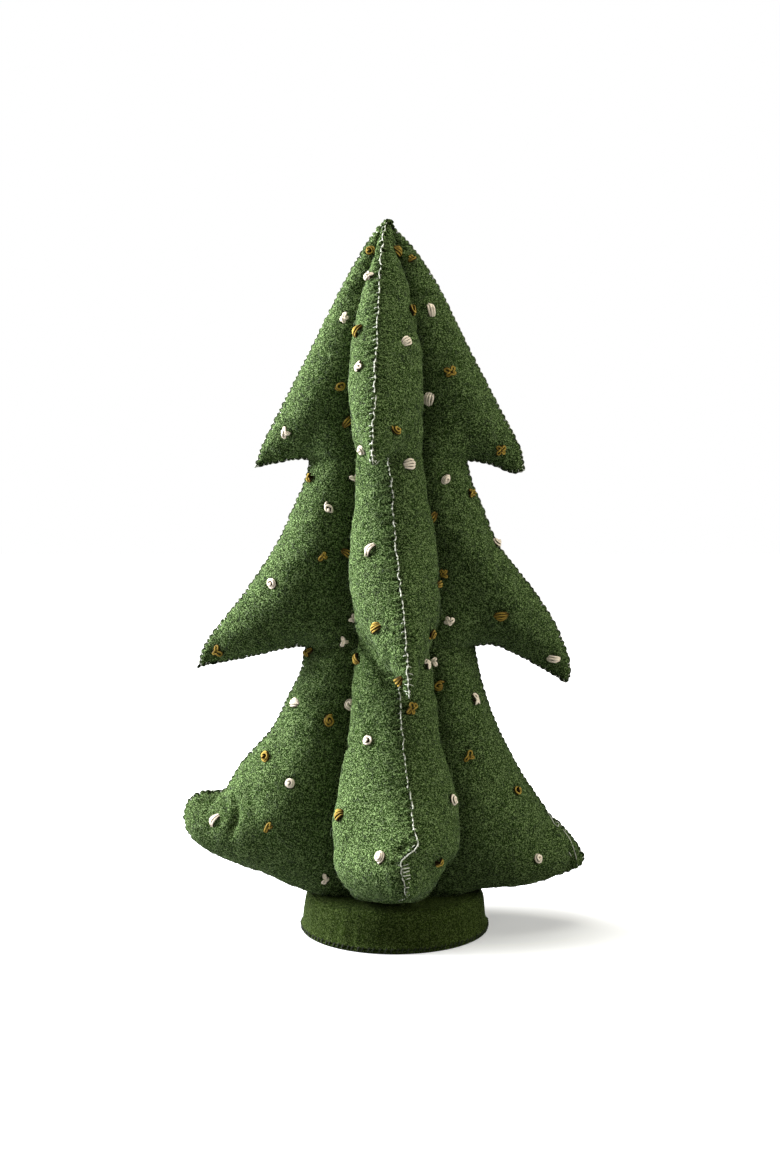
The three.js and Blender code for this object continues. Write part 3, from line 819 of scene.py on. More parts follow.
def new_material(name):
    """An empty material with its Object coordinates."""
    material = bpy.data.materials.new(name)
    material.use_nodes = True
    tree = material.node_tree
    tree.nodes.clear()
    return material, tree, add_node(tree, "TexCoord", output="Object")


def tinted(colour, *shares):
    """An opaque colour with its red, green and blue at these shares, or all three at one share."""
    return (*(value * share for value, share in zip(colour, shares * 3)), 1)


def per_mm(size):
    """A noise texture's scale for features of about this many millimetres."""
    return 1 / (size * MM)


def shift_by(amount):
    """A shift that sets one pattern apart from another."""
    return (amount, amount * 0.7, -amount)


def soft_patches(tree, place, size, low, high, detail=2, roughness=0.5, shift=0, most=1):
    """Noise of about size millimetres, and patches of it: 0 where it is low, and most where it is high."""
    moved = add_node(tree, "VectorMath", {0: place, 1: shift_by(shift)}, operation="ADD")
    noise = add_node(tree, "TexNoise", {"Vector": moved, "Scale": per_mm(size), "Detail": detail,
                                        "Roughness": roughness})
    patches = add_node(tree, "MapRange", {"Value": noise, "From Min": low, "From Max": high, "To Max": most},
                       **SMOOTH)
    return noise, patches


def felt_material(name, colours, depth_share=1.0):
    """Wool felt, needled and pressed: a matt mat of curled fibres, pale where they catch the light and dark
    between them. The fibres are 0.03 mm thick, too fine to show, so they are drawn about 0.3 mm thick."""
    dark, middle, pale, tint = (tinted(colour, 1) for colour in colours)
    material, tree, place = new_material(name)
    fibres = felt_fibres(tree, place)
    grain, spread = soft_patches(tree, place, 0.5, 0.4, 0.6, roughness=0.7)
    base = add_node(tree, "Mix", {0: spread, 6: dark, 7: middle}, **MIX_COLOURS)
    _, spread = soft_patches(tree, place, 8, 0.48, 0.7, 4, 0.6, shift=0.7, most=0.3)
    base = add_node(tree, "Mix", {0: spread, 6: base, 7: tint}, **MIX_COLOURS)
    _, spread = soft_patches(tree, place, 28, 0.4, 0.68, shift=0.2, most=0.3)
    base = add_node(tree, "Mix", {0: spread, 6: base, 7: dark}, **MIX_COLOURS)
    _, spread = soft_patches(tree, place, 0.7, 0.4, 0.58, 1, shift=0.5)
    strand = add_node(tree, "Mix", {0: spread, 6: tint, 7: pale}, **MIX_COLOURS)
    cover = add_node(tree, "Math", {0: fibres, 1: 0.9}, operation="MULTIPLY")
    base = add_node(tree, "Mix", {0: cover, 6: base, 7: strand}, **MIX_COLOURS)
    # Painted shade: the felt darkens towards felt_dark near its sewn edges, by the edge attribute
    edge = add_node(tree, "Attribute", output="Fac", attribute_name="edge")
    edge = add_node(tree, "Math", {0: edge, 1: EDGE_PAINTED_SHADE}, operation="MULTIPLY")
    base = add_node(tree, "Mix", {0: edge, 6: base, 7: dark}, **MIX_COLOURS)
    strokes = add_node(tree, "Math", {0: fibres, 1: 0.8}, operation="MULTIPLY")
    height = add_node(tree, "Math", {0: grain, 1: 0.6}, operation="MULTIPLY")
    height = add_node(tree, "Math", {0: strokes, 1: height}, operation="ADD")
    depth = FELT_BUMP * MM * depth_share
    bump = add_node(tree, "Bump", {"Height": height, "Strength": 1, "Distance": depth})
    shader = add_node(tree, "BsdfPrincipled", {
        "Base Color": base, "Roughness": 0.95, "Specular IOR Level": 0.03, "Sheen Weight": 0.01,
        "Sheen Roughness": 0.35, "Sheen Tint": pale, "Normal": bump})
    add_node(tree, "OutputMaterial", {"Surface": shader})
    return material


# How dark the painted shade along the sewn edges makes the felt
EDGE_PAINTED_SHADE = 0.88
FELT_BUMP = 0.2


def felt_fibres(tree, place):
    """Curled strokes in three lays: 1 on a stroke and 0 beside it."""
    fibres = 0
    for shift, stretch in FIBRE_LAYS:
        curled = bent_place(tree, place, FIBRE_BEND, FIBRE_CURL, shift)
        laid = add_node(tree, "VectorMath", {0: curled, 1: stretch}, operation="MULTIPLY")
        _, strokes = soft_patches(tree, laid, FIBRE_WIDTH, *FIBRE_CUT, detail=0)
        fibres = add_node(tree, "Math", {0: fibres, 1: strokes}, operation="MAXIMUM")
    return fibres


# Upright, level and short strokes, each lay with a shift of its own
FIBRE_LAYS = ((0.0, (1, 1, 0.17)), (0.13, (0.17, 0.17, 1)), (0.29, (0.6, 0.6, 0.4)))
FIBRE_WIDTH = 0.28
FIBRE_CUT = (0.56, 0.65)
FIBRE_BEND = 1.7
FIBRE_CURL = 1.8


def bent_place(tree, place, size, reach, shift):
    """Coordinates bent by soft noise, so that what is drawn in them curls."""
    moved = add_node(tree, "VectorMath", {0: place, 1: shift_by(shift)}, operation="ADD")
    bend = add_node(tree, "TexNoise", {"Vector": moved, "Scale": per_mm(size), "Detail": 1}, "Color")
    bend = add_node(tree, "VectorMath", {0: bend, 1: (0.5, 0.5, 0.5)}, operation="SUBTRACT")
    bend = add_node(tree, "VectorMath", {0: bend, "Scale": reach * MM}, operation="SCALE")
    return add_node(tree, "VectorMath", {0: place, 1: bend}, operation="ADD")


# Pieces


def build_wings(sizes):
    """The four wings, their seams, and the rows that their cloth shares."""
    half = sizes.seam_half / MM
    wings = {name: Wing(name, half) for name in WINGS}
    spacing = sizes.stitch / MM
    seams = {name: SeamLine(wing, spacing, seed) for seed, (name, wing) in enumerate(wings.items())}
    return wings, seams


class FELTTREE_OT_felt_panels(bpy.types.Operator):
    """Make the four stuffed felt panels"""

    bl_idname = "felttree.felt_panels"
    bl_label = "Felt Panels"

    def execute(self, context):
        sizes, colours = context.scene.felt_tree_sizes, context.scene.felt_tree_colours
        cell, felt = sizes.cell / MM, sizes.felt / MM
        wings, seams = build_wings(sizes)
        rows = [row_shares(wings.values(), index, cell) for index in range(len(TIERS))]
        wool = felt_material("GreenWoolFelt", (tuple(colours.felt_dark), tuple(colours.felt),
                                               tuple(colours.felt_fibre), hex_to_linear(WING_TINT)))
        for name, (first, second) in PANELS.items():
            points, triangles, held = panel_cloth(wings[first], wings[second], rows, cell)
            piece = make_piece(stuffed(name), points, triangles, wool)
            fill_with_stuffing(piece, held, sizes.swell_cap / MM)
            pair = seams[first], seams[second]
            cloth_points, cloth_normals = uneven(piece, pair)
            refine(piece, pair)
            sew_edges(piece, pair, sizes)
            piece["outer_points"] = close_panel(piece, cloth_points, cloth_normals, triangles, pair, felt)
            paint_edge_shade(piece, pair)
            pick_only(piece)
            bpy.ops.object.shade_smooth()
            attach(piece, "root")
            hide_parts(name)
        return {"FINISHED"}


def paint_edge_shade(piece, seams):
    """Stores painted shade along the sewn edge for the felt's colour, by how near the edge each point lies.

    On the edge it is the wing's painted edge shade, and less at the crown.
    """
    points = points_of(piece)
    calm = 1 - CROWN_SHADE_EASE * smooth_step(points[:, 2], *CROWN_FADE)
    near = []
    for seam in seams:
        away = np.array([seam.tree.find(point)[2] for point in points])
        near.append(seam.shade * (1 - smooth_step(away, *EDGE_SHADE_FADE)))
    shade_mark = piece.data.attributes.new("edge", "FLOAT", "POINT")
    shade_mark.data.foreach_set("value", np.maximum(*near) * calm)


# How far from a seam the painted edge shade fades out, and the heights and share by which it eases off at
# the crown
EDGE_SHADE_FADE = (1.0, 3.2)
CROWN_FADE = (366, 376)
CROWN_SHADE_EASE = 0.75


def sweep(path, radii, sides, lobes=0, turns=0.0):
    """A closed tube along a path: its points and faces. Lobes that wind round it make a plied yarn."""
    path = np.asarray(path, float)
    radii = np.broadcast_to(np.asarray(radii, float), len(path))
    tangents = np.gradient(path, axis=0)
    tangents /= np.maximum(np.linalg.norm(tangents, axis=1, keepdims=True), 1e-9)
    side = np.cross(tangents[0], SLANTED)
    angles = np.arange(sides) / sides * 2 * math.pi
    points = []
    for number, (centre, tangent, radius) in enumerate(zip(path, tangents, radii)):
        side = side - tangent * (side @ tangent)
        side /= np.linalg.norm(side)
        other = np.cross(tangent, side)
        twist = turns * 2 * math.pi * number / len(path)
        reach = radius * (1 + (PLY_DEPTH_SHARE * np.cos(lobes * (angles - twist)) if lobes else 0))
        points.append(centre + np.outer(np.cos(angles) * reach, side)
                      + np.outer(np.sin(angles) * reach, other))
    faces = []
    for ring in range(len(path) - 1):
        for k in range(sides):
            a, b = ring * sides + k, ring * sides + (k + 1) % sides
            faces.append((a, b, b + sides, a + sides))
    last = (len(path) - 1) * sides
    faces.append(tuple(range(sides - 1, -1, -1)))
    faces.append(tuple(last + k for k in range(sides)))
    return np.vstack(points), faces


PLY_DEPTH_SHARE = 0.16
SLANTED = (0.31, 0.53, 0.79)


class Gathered:
    """Points and faces of many small shapes that make one piece."""

    def __init__(self):
        self.points, self.faces, self.count = [], [], 0

    def add(self, points, faces):
        """Adds one shape."""
        self.points.append(points)
        self.faces += [tuple(self.count + number for number in face) for face in faces]
        self.count += len(points)

    def piece(self, name, material):
        """All the shapes as one piece."""
        return make_piece(name, np.vstack(self.points), self.faces, material)


def surface_of(*names):
    """A search tree over the outside of some pieces, in millimetres."""
    points, faces, count = [], [], 0
    for name in names:
        piece = bpy.data.objects[name]
        points += points_of(piece).tolist()
        faces += [[count + number for number in face.vertices] for face in piece.data.polygons]
        count = len(points)
    return BVHTree.FromPolygons(points, faces)


def on_surface(tree, point, lift):
    """The nearest point of a surface, raised along its normal."""
    place, normal, _, _ = tree.find_nearest(Vector(point))
    return np.array(place + normal * lift)


def stuffed(name):
    """The name of a panel's piece."""
    return name + "_stuffed"


def fill_name(wing):
    """The name of a wing's wad of fibre."""
    return f"fibre_fill_{wing}_wing"


def photo_ray(pixel):
    """The direction from the camera through a pixel of the photograph."""
    x = (pixel[0] - PHOTO_CENTRE[0]) / PHOTO_FOCAL
    y = (PHOTO_CENTRE[1] - pixel[1]) / PHOTO_FOCAL
    return (Matrix.Rotation(math.pi / 2 - CAMERA_DIP, 3, "X") @ Vector((x, y, -1))).normalized()


def knot_places(sizes):
    """Where each knot is sewn: its colour, place and normal. The ones that the photograph shows lie where it
    shows them, and the rest are scattered as evenly over what it doesn't show."""
    camera = Vector(CAMERA_PLACE) / MM
    whole = surface_of(*map(stuffed, PANELS))
    places = []
    for name, pixels in SEEN_KNOTS.items():
        for pixel in pixels:
            place, normal, _, _ = whole.ray_cast(camera, photo_ray(pixel))
            if place is not None:
                places.append((name, np.array(place), np.array(normal)))
    _, seams = build_wings(sizes)
    random = np.random.RandomState(KNOT_SEED)
    for name in PANELS:
        piece = bpy.data.objects[stuffed(name)]
        points, normals = points_of(piece), normals_of(piece)
        outside = piece["outer_points"]
        for number in random.permutation(outside)[:KNOT_TRIES]:
            point, normal = points[number], normals[number]
            if nearest_seam(seams.values(), point)[2] < KNOT_SEAM_GAP or point[2] > KNOT_TOP:
                continue
            if min(np.linalg.norm(point - other) for _, other, _ in places) < KNOT_SPACING:
                continue
            if not any(seen_from(camera, whole, Vector(point) + Vector(normal) * lift) for lift in (2, 5)):
                places.append((("cream", "ochre")[random.randint(2)], point, normal))
    return places


def seen_from(camera, whole, point):
    """Whether nothing stands between a point and the camera."""
    return whole.ray_cast(point, (camera - point).normalized())[0] is None


KNOT_SEED = 5
KNOT_TRIES = 4000
KNOT_SEAM_GAP = 9
KNOT_SPACING = 25
KNOT_TOP = 366


def coiled_knot(radius, yarn, random):
    """Yarn that comes up through the felt, winds round once or twice, and dives back through the middle."""
    turns = random.uniform(1.3, 2.4)
    at = np.linspace(0, 1, int(KNOT_STEPS * turns))
    angle = at * turns * 2 * math.pi
    wander = random.uniform(0.05, 0.16)
    phase = random.uniform(0, 2 * math.pi)
    reach = radius * (1 + wander * np.sin(angle * 1.5 + phase)) * mix(1.0, 0.5, at)
    height = yarn * (0.4 + 1.3 * at) + wander * radius * np.sin(angle * 0.7 + phase) * 0.5
    squash = random.uniform(0.75, 1)
    winding = np.stack([reach * np.cos(angle), reach * np.sin(angle) * squash, height], axis=1)
    first, last = winding[0], winding[-1]
    start = [first * [0.9, 0.9, -1], first * [1.1, 1.1, 0]]
    end = [last * [0.5, 0.5, 1] + [0, 0, yarn * 0.3], last * [0.05, 0.05, 0.7], [0, 0, -0.8]]
    return np.vstack([start, winding, end])


def tied_knot(radius, yarn, random):
    """Yarn tied over itself: a clump of three or four loops of uneven size."""
    loops = random.randint(3, 5)
    points = []
    for loop in range(loops):
        angle = (loop + random.uniform(-0.3, 0.3)) / loops * 2 * math.pi
        reach = radius * random.uniform(0.7, 1.2)
        spread = random.uniform(0.25, 0.5)
        rise = yarn * random.uniform(0.1, 0.9)
        for share, turn, lift in ((0.25, -1.3, 1.2), (0.8, -spread, 0.9), (1, 0, 0.3), (0.8, spread, 0.6)):
            away = reach * share
            points.append((away * math.cos(angle + turn), away * math.sin(angle + turn), rise + yarn * lift))
    return np.array([[0, 0, -0.8]] + points + [[0.2, 0, yarn * 1.5], [0, 0, -0.6]])


def laid_knot(radius, yarn, random):
    """Three or four strands laid side by side, pulled together at both ends."""
    strands = random.randint(3, 5)
    points = []
    for strand in range(strands):
        aside = strand - (strands - 1) / 2
        span = radius * 1.3 * (1 - 0.1 * abs(aside)) * random.uniform(0.9, 1.1)
        way = 1 if strand % 2 == 0 else -1
        for share, rise, spread in LAID_STRAND:
            height = yarn * (rise + 0.35 - 0.22 * aside**2 + random.uniform(-0.12, 0.12))
            points.append((aside * spread * yarn * 1.05, way * span * share, height))
    return np.array(points)


KNOT_STEPS = 10
# A laid strand's points, each as shares of its half span along it, of the yarn up and of its place aside
LAID_STRAND = ((-1, -0.5, 0.5), (-0.6, 0.8, 0.85), (0, 1.2, 1), (0.6, 0.8, 0.85), (1, -0.5, 0.5))
KNOT_KINDS = (coiled_knot, coiled_knot, tied_knot, tied_knot, laid_knot, laid_knot)


class FELTTREE_OT_tucks(bpy.types.Operator):
    """Press the creases of hand sewing into the stuffed felt"""

    bl_idname = "felttree.tucks"
    bl_label = "Tucks"

    def execute(self, context):
        whole = surface_of(*map(stuffed, PANELS))
        camera = Vector(CAMERA_PLACE) / MM
        for depth, width, pixels in TUCKS:
            hits = [whole.ray_cast(camera, photo_ray(pixel)) for pixel in pixels]
            hits = [(np.array(place), np.array(normal)) for place, normal, _, _ in hits if place is not None]
            press_tuck(hits, depth, width)
        return {"FINISHED"}


def press_tuck(hits, depth, width):
    """Presses one crease into the felt, along places with their normals. It fades towards both ends."""
    places = even_steps(np.array([place for place, _ in hits]), TUCK_STEPS)
    inward = -np.mean([normal for _, normal in hits], axis=0)
    inward /= np.linalg.norm(inward)
    fade = np.sin(np.linspace(*TUCK_ENDS, TUCK_STEPS) * math.pi)
    for name in [*map(stuffed, PANELS), *map(fill_name, WINGS)]:
        piece = bpy.data.objects[name]
        points, normals = points_of(piece), normals_of(piece)
        near = np.nonzero(np.linalg.norm(points - places.mean(axis=0), axis=1) < TUCK_REACH)[0]
        if not len(near):
            continue
        away = np.linalg.norm(points[near][:, None] - places[None], axis=2)
        press = (fade * np.exp(-(away / width)**2)).max(axis=1) * depth
        facing = smooth_step(np.abs(normals[near] @ inward), *TUCK_FACING)
        points[near] += np.outer(press * facing, inward)
        move_points(piece, points)


TUCK_STEPS = 24
TUCK_REACH = 60
TUCK_ENDS = (0.12, 0.88)
TUCK_FACING = (0.1, 0.6)


class FELTTREE_OT_knots(bpy.types.Operator):
    """Sew French knots of cream and ochre yarn into the felt"""

    bl_idname = "felttree.knots"
    bl_label = "French Knots"

    def execute(self, context):
        sizes, colours = context.scene.felt_tree_sizes, context.scene.felt_tree_colours
        places = knot_places(sizes)
        press_dimples(places, sizes.dimple / MM)
        materials = {"cream": yarn_material("CreamWoolYarn", tuple(colours.cream), CREAM_PAINTED_SHADE),
                     "ochre": yarn_material("OchreWoolYarn", tuple(colours.ochre), OCHRE_PAINTED_SHADE)}
        gathered = {name: Gathered() for name in materials}
        painted_shade_heights = {name: [] for name in materials}
        random = np.random.RandomState(KNOT_SEED + 1)
        for name, place, normal in places:
            yarn = sizes.yarn / MM * random.uniform(0.9, 1.1)
            kind = KNOT_KINDS[random.randint(len(KNOT_KINDS))]
            path = kind(sizes.knot / MM * random.uniform(0.9, 1.15), yarn, random)
            path = smooth_curve(path, count=int(len(path) * 1.6))
            points, faces = sweep(path, yarn / 2, YARN_SIDES, lobes=2, turns=len(path) / 8)
            # How high each point sits on its strand, for the yarn's painted shade
            painted_shade_heights[name].append((points - np.repeat(path, YARN_SIDES, axis=0))[:, 2] / yarn * 2)
            turn = Matrix.Rotation(random.uniform(0, 2 * math.pi), 3, "Z")
            tilt = Matrix.Rotation(random.uniform(-0.3, 0.3), 3, "X")
            upright = Vector(normal).to_track_quat("Z", "Y").to_matrix() @ tilt @ turn
            points = points @ np.array(upright).T + place - normal * sizes.dimple / MM * 0.8
            gathered[name].add(points, faces)
        for name, group in gathered.items():
            piece = group.piece(f"french_knots_{name}", materials[name])
            crest = piece.data.attributes.new("crest", "FLOAT", "POINT")
            crest.data.foreach_set("value", np.concatenate(painted_shade_heights[name]))
            pick_only(piece)
            bpy.ops.object.shade_smooth()
            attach(piece, "root")
        return {"FINISHED"}


def press_dimples(places, depth):
    """Draws the felt in under each knot."""
    for name in PANELS:
        piece = bpy.data.objects[stuffed(name)]
        points = points_of(piece)
        normals = normals_of(piece)
        for _, place, normal in places:
            away = np.linalg.norm(points - place, axis=1)
            facing = np.clip(normals @ normal, 0, 1)
            points -= np.outer(depth * np.exp(-(away / DIMPLE_WIDTH)**2) * facing, normal)
        move_points(piece, points)


YARN_SIDES = 6
DIMPLE_WIDTH = 3.6


def yarn_material(name, colour, shade_range):
    """Plied wool embroidery yarn: matt, with fine fibres, and painted shade low on the sides of each strand.
    """
    material, tree, place = new_material(name)
    fine, spread = soft_patches(tree, place, 0.35, 0.3, 0.56, roughness=0.6)
    ends = {6: tinted(colour, 0.72), 7: tinted(colour, 1)}
    base = add_node(tree, "Mix", {0: spread, **ends}, **MIX_COLOURS)
    # Painted shade: the yarn darkens low on the sides of each strand, by the crest attribute
    crest = add_node(tree, "Attribute", output="Fac", attribute_name="crest")
    low, high = shade_range
    raised = add_node(tree, "MapRange", {"Value": crest, "From Min": low, "From Max": high}, **SMOOTH)
    base = add_node(tree, "Mix", {0: raised, 6: tinted(colour, *PAINTED_SHADE_SHARES), 7: base}, **MIX_COLOURS)
    bump = add_node(tree, "Bump", {"Height": fine, "Strength": 0.6, "Distance": 0.15 * MM})
    shader = add_node(tree, "BsdfPrincipled", {
        "Base Color": base, "Roughness": 0.85, "Specular IOR Level": 0.08, "Normal": bump})
    add_node(tree, "OutputMaterial", {"Surface": shader})
    return material


# The painted shade's colour as shares of the yarn's, and for each yarn the heights on a strand over which it
# gives way to the yarn's colour
PAINTED_SHADE_SHARES = (0.05, 0.04, 0.03)
CREAM_PAINTED_SHADE = (0.06, 0.45)
OCHRE_PAINTED_SHADE = (0.3, 1.0)


def thread_material(name, colour):
    """Two-ply cotton sewing thread: smooth and slightly lustrous, with a little wear in its colour."""
    material, tree, place = new_material(name)
    _, wear = soft_patches(tree, place, 2, 0.3, 0.7)
    ends = {6: tinted(colour, 0.7), 7: tinted(colour, 1)}
    base = add_node(tree, "Mix", {0: wear, **ends}, **MIX_COLOURS)
    twist = add_node(tree, "TexNoise", {"Vector": place, "Scale": per_mm(0.3), "Detail": 1})
    bump = add_node(tree, "Bump", {"Height": twist, "Strength": 0.4, "Distance": 0.1 * MM})
    shader = add_node(tree, "BsdfPrincipled", {
        "Base Color": base, "Roughness": 0.6, "Specular IOR Level": 0.15, "Normal": bump})
    add_node(tree, "OutputMaterial", {"Surface": shader})
    return material


class FELTTREE_OT_stitches(bpy.types.Operator):
    """Sew the wings' edges: a thread along each seam, and a stitch over it every few millimetres"""

    bl_idname = "felttree.stitches"
    bl_label = "Edge Stitches"

    def execute(self, context):
        sizes, colours = context.scene.felt_tree_sizes, context.scene.felt_tree_colours
        thread = sizes.thread / MM / 2
        cotton = thread_material("SageCottonThread", tuple(colours.thread))
        _, seams = build_wings(sizes)
        random = np.random.RandomState(STITCH_SEED)
        for name, seam in seams.items():
            tree = surface_of(*[stuffed(panel) for panel, pair in PANELS.items() if name in pair])
            gathered = Gathered()
            raised = thread * 0.4 - PINCH_DEPTH * 0.5 * seam.pinch[SEAM_RUN]
            along = seam.points[SEAM_RUN] + seam.out[SEAM_RUN] * raised[:, None]
            along += seam.across[SEAM_RUN] * (THREAD_WANDER * lumps(along, 4.0, 9))[:, None]
            gathered.add(*sweep(along, thread, 5))
            for at in seam.stitches:
                if at < len(seam.points) - LAST_STITCH_GAP:
                    add_stitch(gathered, tree, seam, at, sizes, random)
            for pixels in SEEN_THREADS.get(name, ()):
                add_seen_thread(gathered, tree, pixels, thread)
            piece = gathered.piece(f"edge_stitches_{name}_wing", cotton)
            pick_only(piece)
            bpy.ops.object.shade_smooth()
            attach(piece, "root")
            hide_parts(f"edge_thread_{name}_wing")
        return {"FINISHED"}


STITCH_SEED = 11
THREAD_WANDER = 1.3
# The points of a seam that the thread along it follows, and how many of the last ones have no stitch
SEAM_RUN = slice(8, -40, 3)
LAST_STITCH_GAP = 60


def add_seen_thread(gathered, tree, pixels, thread):
    """A loose stitch along the pixels of the photograph that show it."""
    camera = Vector(CAMERA_PLACE) / MM
    hits = [tree.ray_cast(camera, photo_ray(pixel)) for pixel in pixels]
    path = np.array([place + normal * thread * 0.6 for place, normal, _, _ in hits if place is not None])
    if len(path) > 1:
        gathered.add(*sweep(even_steps(path, 3 * len(path)), thread * 0.8, 4))


def add_stitch(gathered, tree, seam, at, sizes, random):
    """One stitch: it comes out of one felt, goes over both edges and into the other felt."""
    thread = sizes.thread / MM / 2
    base, out, across, along = (part[at] for part in (seam.points, seam.out, seam.across, seam.along))
    base = base - out * PINCH_DEPTH * 0.9 * seam.pinch[at]
    path = []
    for side in (-1, 1):
        reach = sizes.bite / MM * random.choice([0.3, 0.4, 0.7, 1.2])
        slant = random.uniform(-0.4, 1.3)
        leg = []
        for share, lift in STITCH_LEG:
            guess = base + across * side * (0.3 + reach * share) - out * reach * share * 0.6
            guess = guess + along * slant * share
            leg.append(on_surface(tree, guess, thread * lift))
        path += leg if side < 0 else leg[::-1]
        if side < 0:
            path.append(base + out * thread + across * random.uniform(-0.2, 0.2))
    gathered.add(*sweep(smooth_curve(path, count=8), thread * 0.75, 4))


# A stitch's points on one side of the seam, as shares of its reach and lifts in thread radii
STITCH_LEG = ((1.0, -0.8), (0.7, 0.2), (0.35, 0.4))


class FELTTREE_OT_stray_fibres(bpy.types.Operator):
    """Lay short stray wool fibres on the felt"""

    bl_idname = "felttree.stray_fibres"
    bl_label = "Stray Fibres"

    def execute(self, context):
        sizes, colours = context.scene.felt_tree_sizes, context.scene.felt_tree_colours
        wool = fibre_material("StrayWoolFibre", tuple(colours.felt_fibre), tuple(colours.felt))
        random = np.random.RandomState(FIBRE_SEED)
        _, seams = build_wings(sizes)
        for name, pair in PANELS.items():
            piece = lay_fibres(bpy.data.objects[stuffed(name)], "stray_fibres" + name[len("felt_panel"):],
                               [seams[wing] for wing in pair], FIBRE_COUNT, sizes.fibre / MM, wool, random)
            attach(piece, "root")
        return {"FINISHED"}


FIBRE_SEED = 23
FIBRE_COUNT = 6500
FIBRE_STEPS = 5
FIBRE_TAPER = (0.8, 1, 1, 0.85, 0.4)
FIBRE_SEAM_GAP = 5
FIBRE_ODD_SHARE = 0.03
FIBRE_REACH = (1.8, 4.6)
FIBRE_LONG_REACH = (6, 10)
FIBRE_LIFT = (-0.05, 0.15)
FIBRE_HIGH_LIFT = (0.4, 1.2)


def lay_fibres(base, name, seams, count, thickness, material, random):
    """Curled fibres that lie on a piece's outer face and stand a little off it, as one piece."""
    points, normals = points_of(base), normals_of(base)
    roots = random.randint(0, base["outer_points"], count * 2)
    inland = [nearest_seam(seams, points[root])[2] > FIBRE_SEAM_GAP for root in roots]
    roots = roots[np.array(inland)][:count]
    up = normals[roots]
    along = np.cross(up, random.normal(size=(len(roots), 3)))
    along /= np.linalg.norm(along, axis=1, keepdims=True)
    aside = np.cross(up, along)
    paths = fibre_paths(points[roots], along, aside, up, random)
    return make_piece(name, *fibre_tubes(paths, aside, up, thickness), material)


def mostly(usual, odd, count, random):
    """Draws from the usual range, apart from a small share that comes from the odd one."""
    is_odd = random.uniform(size=count) < FIBRE_ODD_SHARE
    return np.where(is_odd, random.uniform(*odd, count), random.uniform(*usual, count))


def fibre_paths(place, along, aside, up, random):
    """The fibres' middle lines. They curl aside, and their ends sink into the felt."""
    count = len(place)
    reach = mostly(FIBRE_REACH, FIBRE_LONG_REACH, count, random)
    bend = random.uniform(-0.9, 0.9, count) * reach * 0.5
    lift = mostly(FIBRE_LIFT, FIBRE_HIGH_LIFT, count, random)
    at = np.linspace(0, 1, FIBRE_STEPS)
    arc = np.sin(at * math.pi)
    return (place[:, None] + along[:, None] * (reach[:, None] * at)[..., None]
            + aside[:, None] * (bend[:, None] * arc)[..., None]
            + up[:, None] * (lift[:, None] * (0.25 + at) - 0.35 * (1 - arc)**6)[..., None])


def fibre_tubes(paths, aside, up, thickness):
    """Points and faces of thin three-sided tubes along the fibres' middle lines."""
    thick = thickness / 2 * np.array(FIBRE_TAPER)
    rings = []
    for turn in range(3):
        angle = turn * 2 * math.pi / 3
        outward = aside[:, None] * math.cos(angle) + up[:, None] * math.sin(angle)
        rings.append(paths + outward * thick[None, :, None])
    tubes = np.stack(rings, axis=2).reshape(len(paths), -1, 3)
    walls = []
    for k in range(FIBRE_STEPS - 1):
        for turn in range(3):
            a, b = k * 3 + turn, k * 3 + (turn + 1) % 3
            walls.append((a, b, b + 3, a + 3))
    walls += [(2, 1, 0), (FIBRE_STEPS * 3 - 3, FIBRE_STEPS * 3 - 2, FIBRE_STEPS * 3 - 1)]
    size = tubes.shape[1]
    starts = range(0, len(tubes) * size, size)
    faces = [tuple(start + number for number in face) for start in starts for face in walls]
    return tubes.reshape(-1, 3), faces


def fibre_material(name, pale, green):
    """Stray wool fibres on the felt: fine, pale and matt, so they catch the light."""
    material, tree, place = new_material(name)
    _, spread = soft_patches(tree, place, 5, 0.42, 0.72, 1)
    base = add_node(tree, "Mix", {0: spread, 6: tinted(green, 1), 7: tinted(pale, 1)}, **MIX_COLOURS)
    shader = add_node(tree, "BsdfPrincipled", {
        "Base Color": base, "Roughness": 0.8, "Specular IOR Level": 0.2, "Sheen Weight": 0.1})
    add_node(tree, "OutputMaterial", {"Surface": shader})
    return material


def ring_profile(profile, sides):
    """Adds an open ring: a circle, extruded up through a profile of (radius, height) points."""
    bpy.ops.object.select_all(action="DESELECT")
    radius, height = profile[0]
    bpy.ops.mesh.primitive_circle_add(vertices=sides, radius=radius * MM, location=(0, 0, height * MM))
    piece = bpy.context.object
    bpy.ops.object.transform_apply()
    bpy.ops.object.mode_set(mode="EDIT")
    bpy.ops.mesh.select_all(action="SELECT")
    for (before, low), (after, high) in zip(profile, profile[1:]):
        bpy.ops.mesh.extrude_region_move(TRANSFORM_OT_translate={"value": (0, 0, (high - low) * MM)})
        change = after / before
        bpy.ops.transform.resize(value=(change, change, 1), center_override=(0, 0, high * MM))
    return piece


def finish_edit(piece, name, smooth_degrees=50):
    """Leaves edit mode with faces that point out and smooth shading up to a crease."""
    bpy.ops.mesh.select_all(action="SELECT")
    bpy.ops.mesh.normals_make_consistent(inside=False)
    bpy.ops.object.mode_set(mode="OBJECT")
    piece.name = piece.data.name = name
    pick_only(piece)
    bpy.ops.object.shade_smooth_by_angle(angle=math.radians(smooth_degrees))


def rumple(piece, depth, upright, seed):
    """Small hollows and upright creases in pressed felt round the foot, square to its surface."""
    points, normals = points_of(piece), normals_of(piece)
    angle = np.arctan2(points[:, 1], points[:, 0])
    round_the_foot = np.stack([np.cos(angle) * 50, np.sin(angle) * 50, points[:, 2] * 0.12], axis=1)
    creases = np.abs(lumps(round_the_foot, 4.2, seed)) * upright
    points += normals * (lumps(points, 9.0, seed + 1) * depth - creases)[:, None]
    move_points(piece, points)


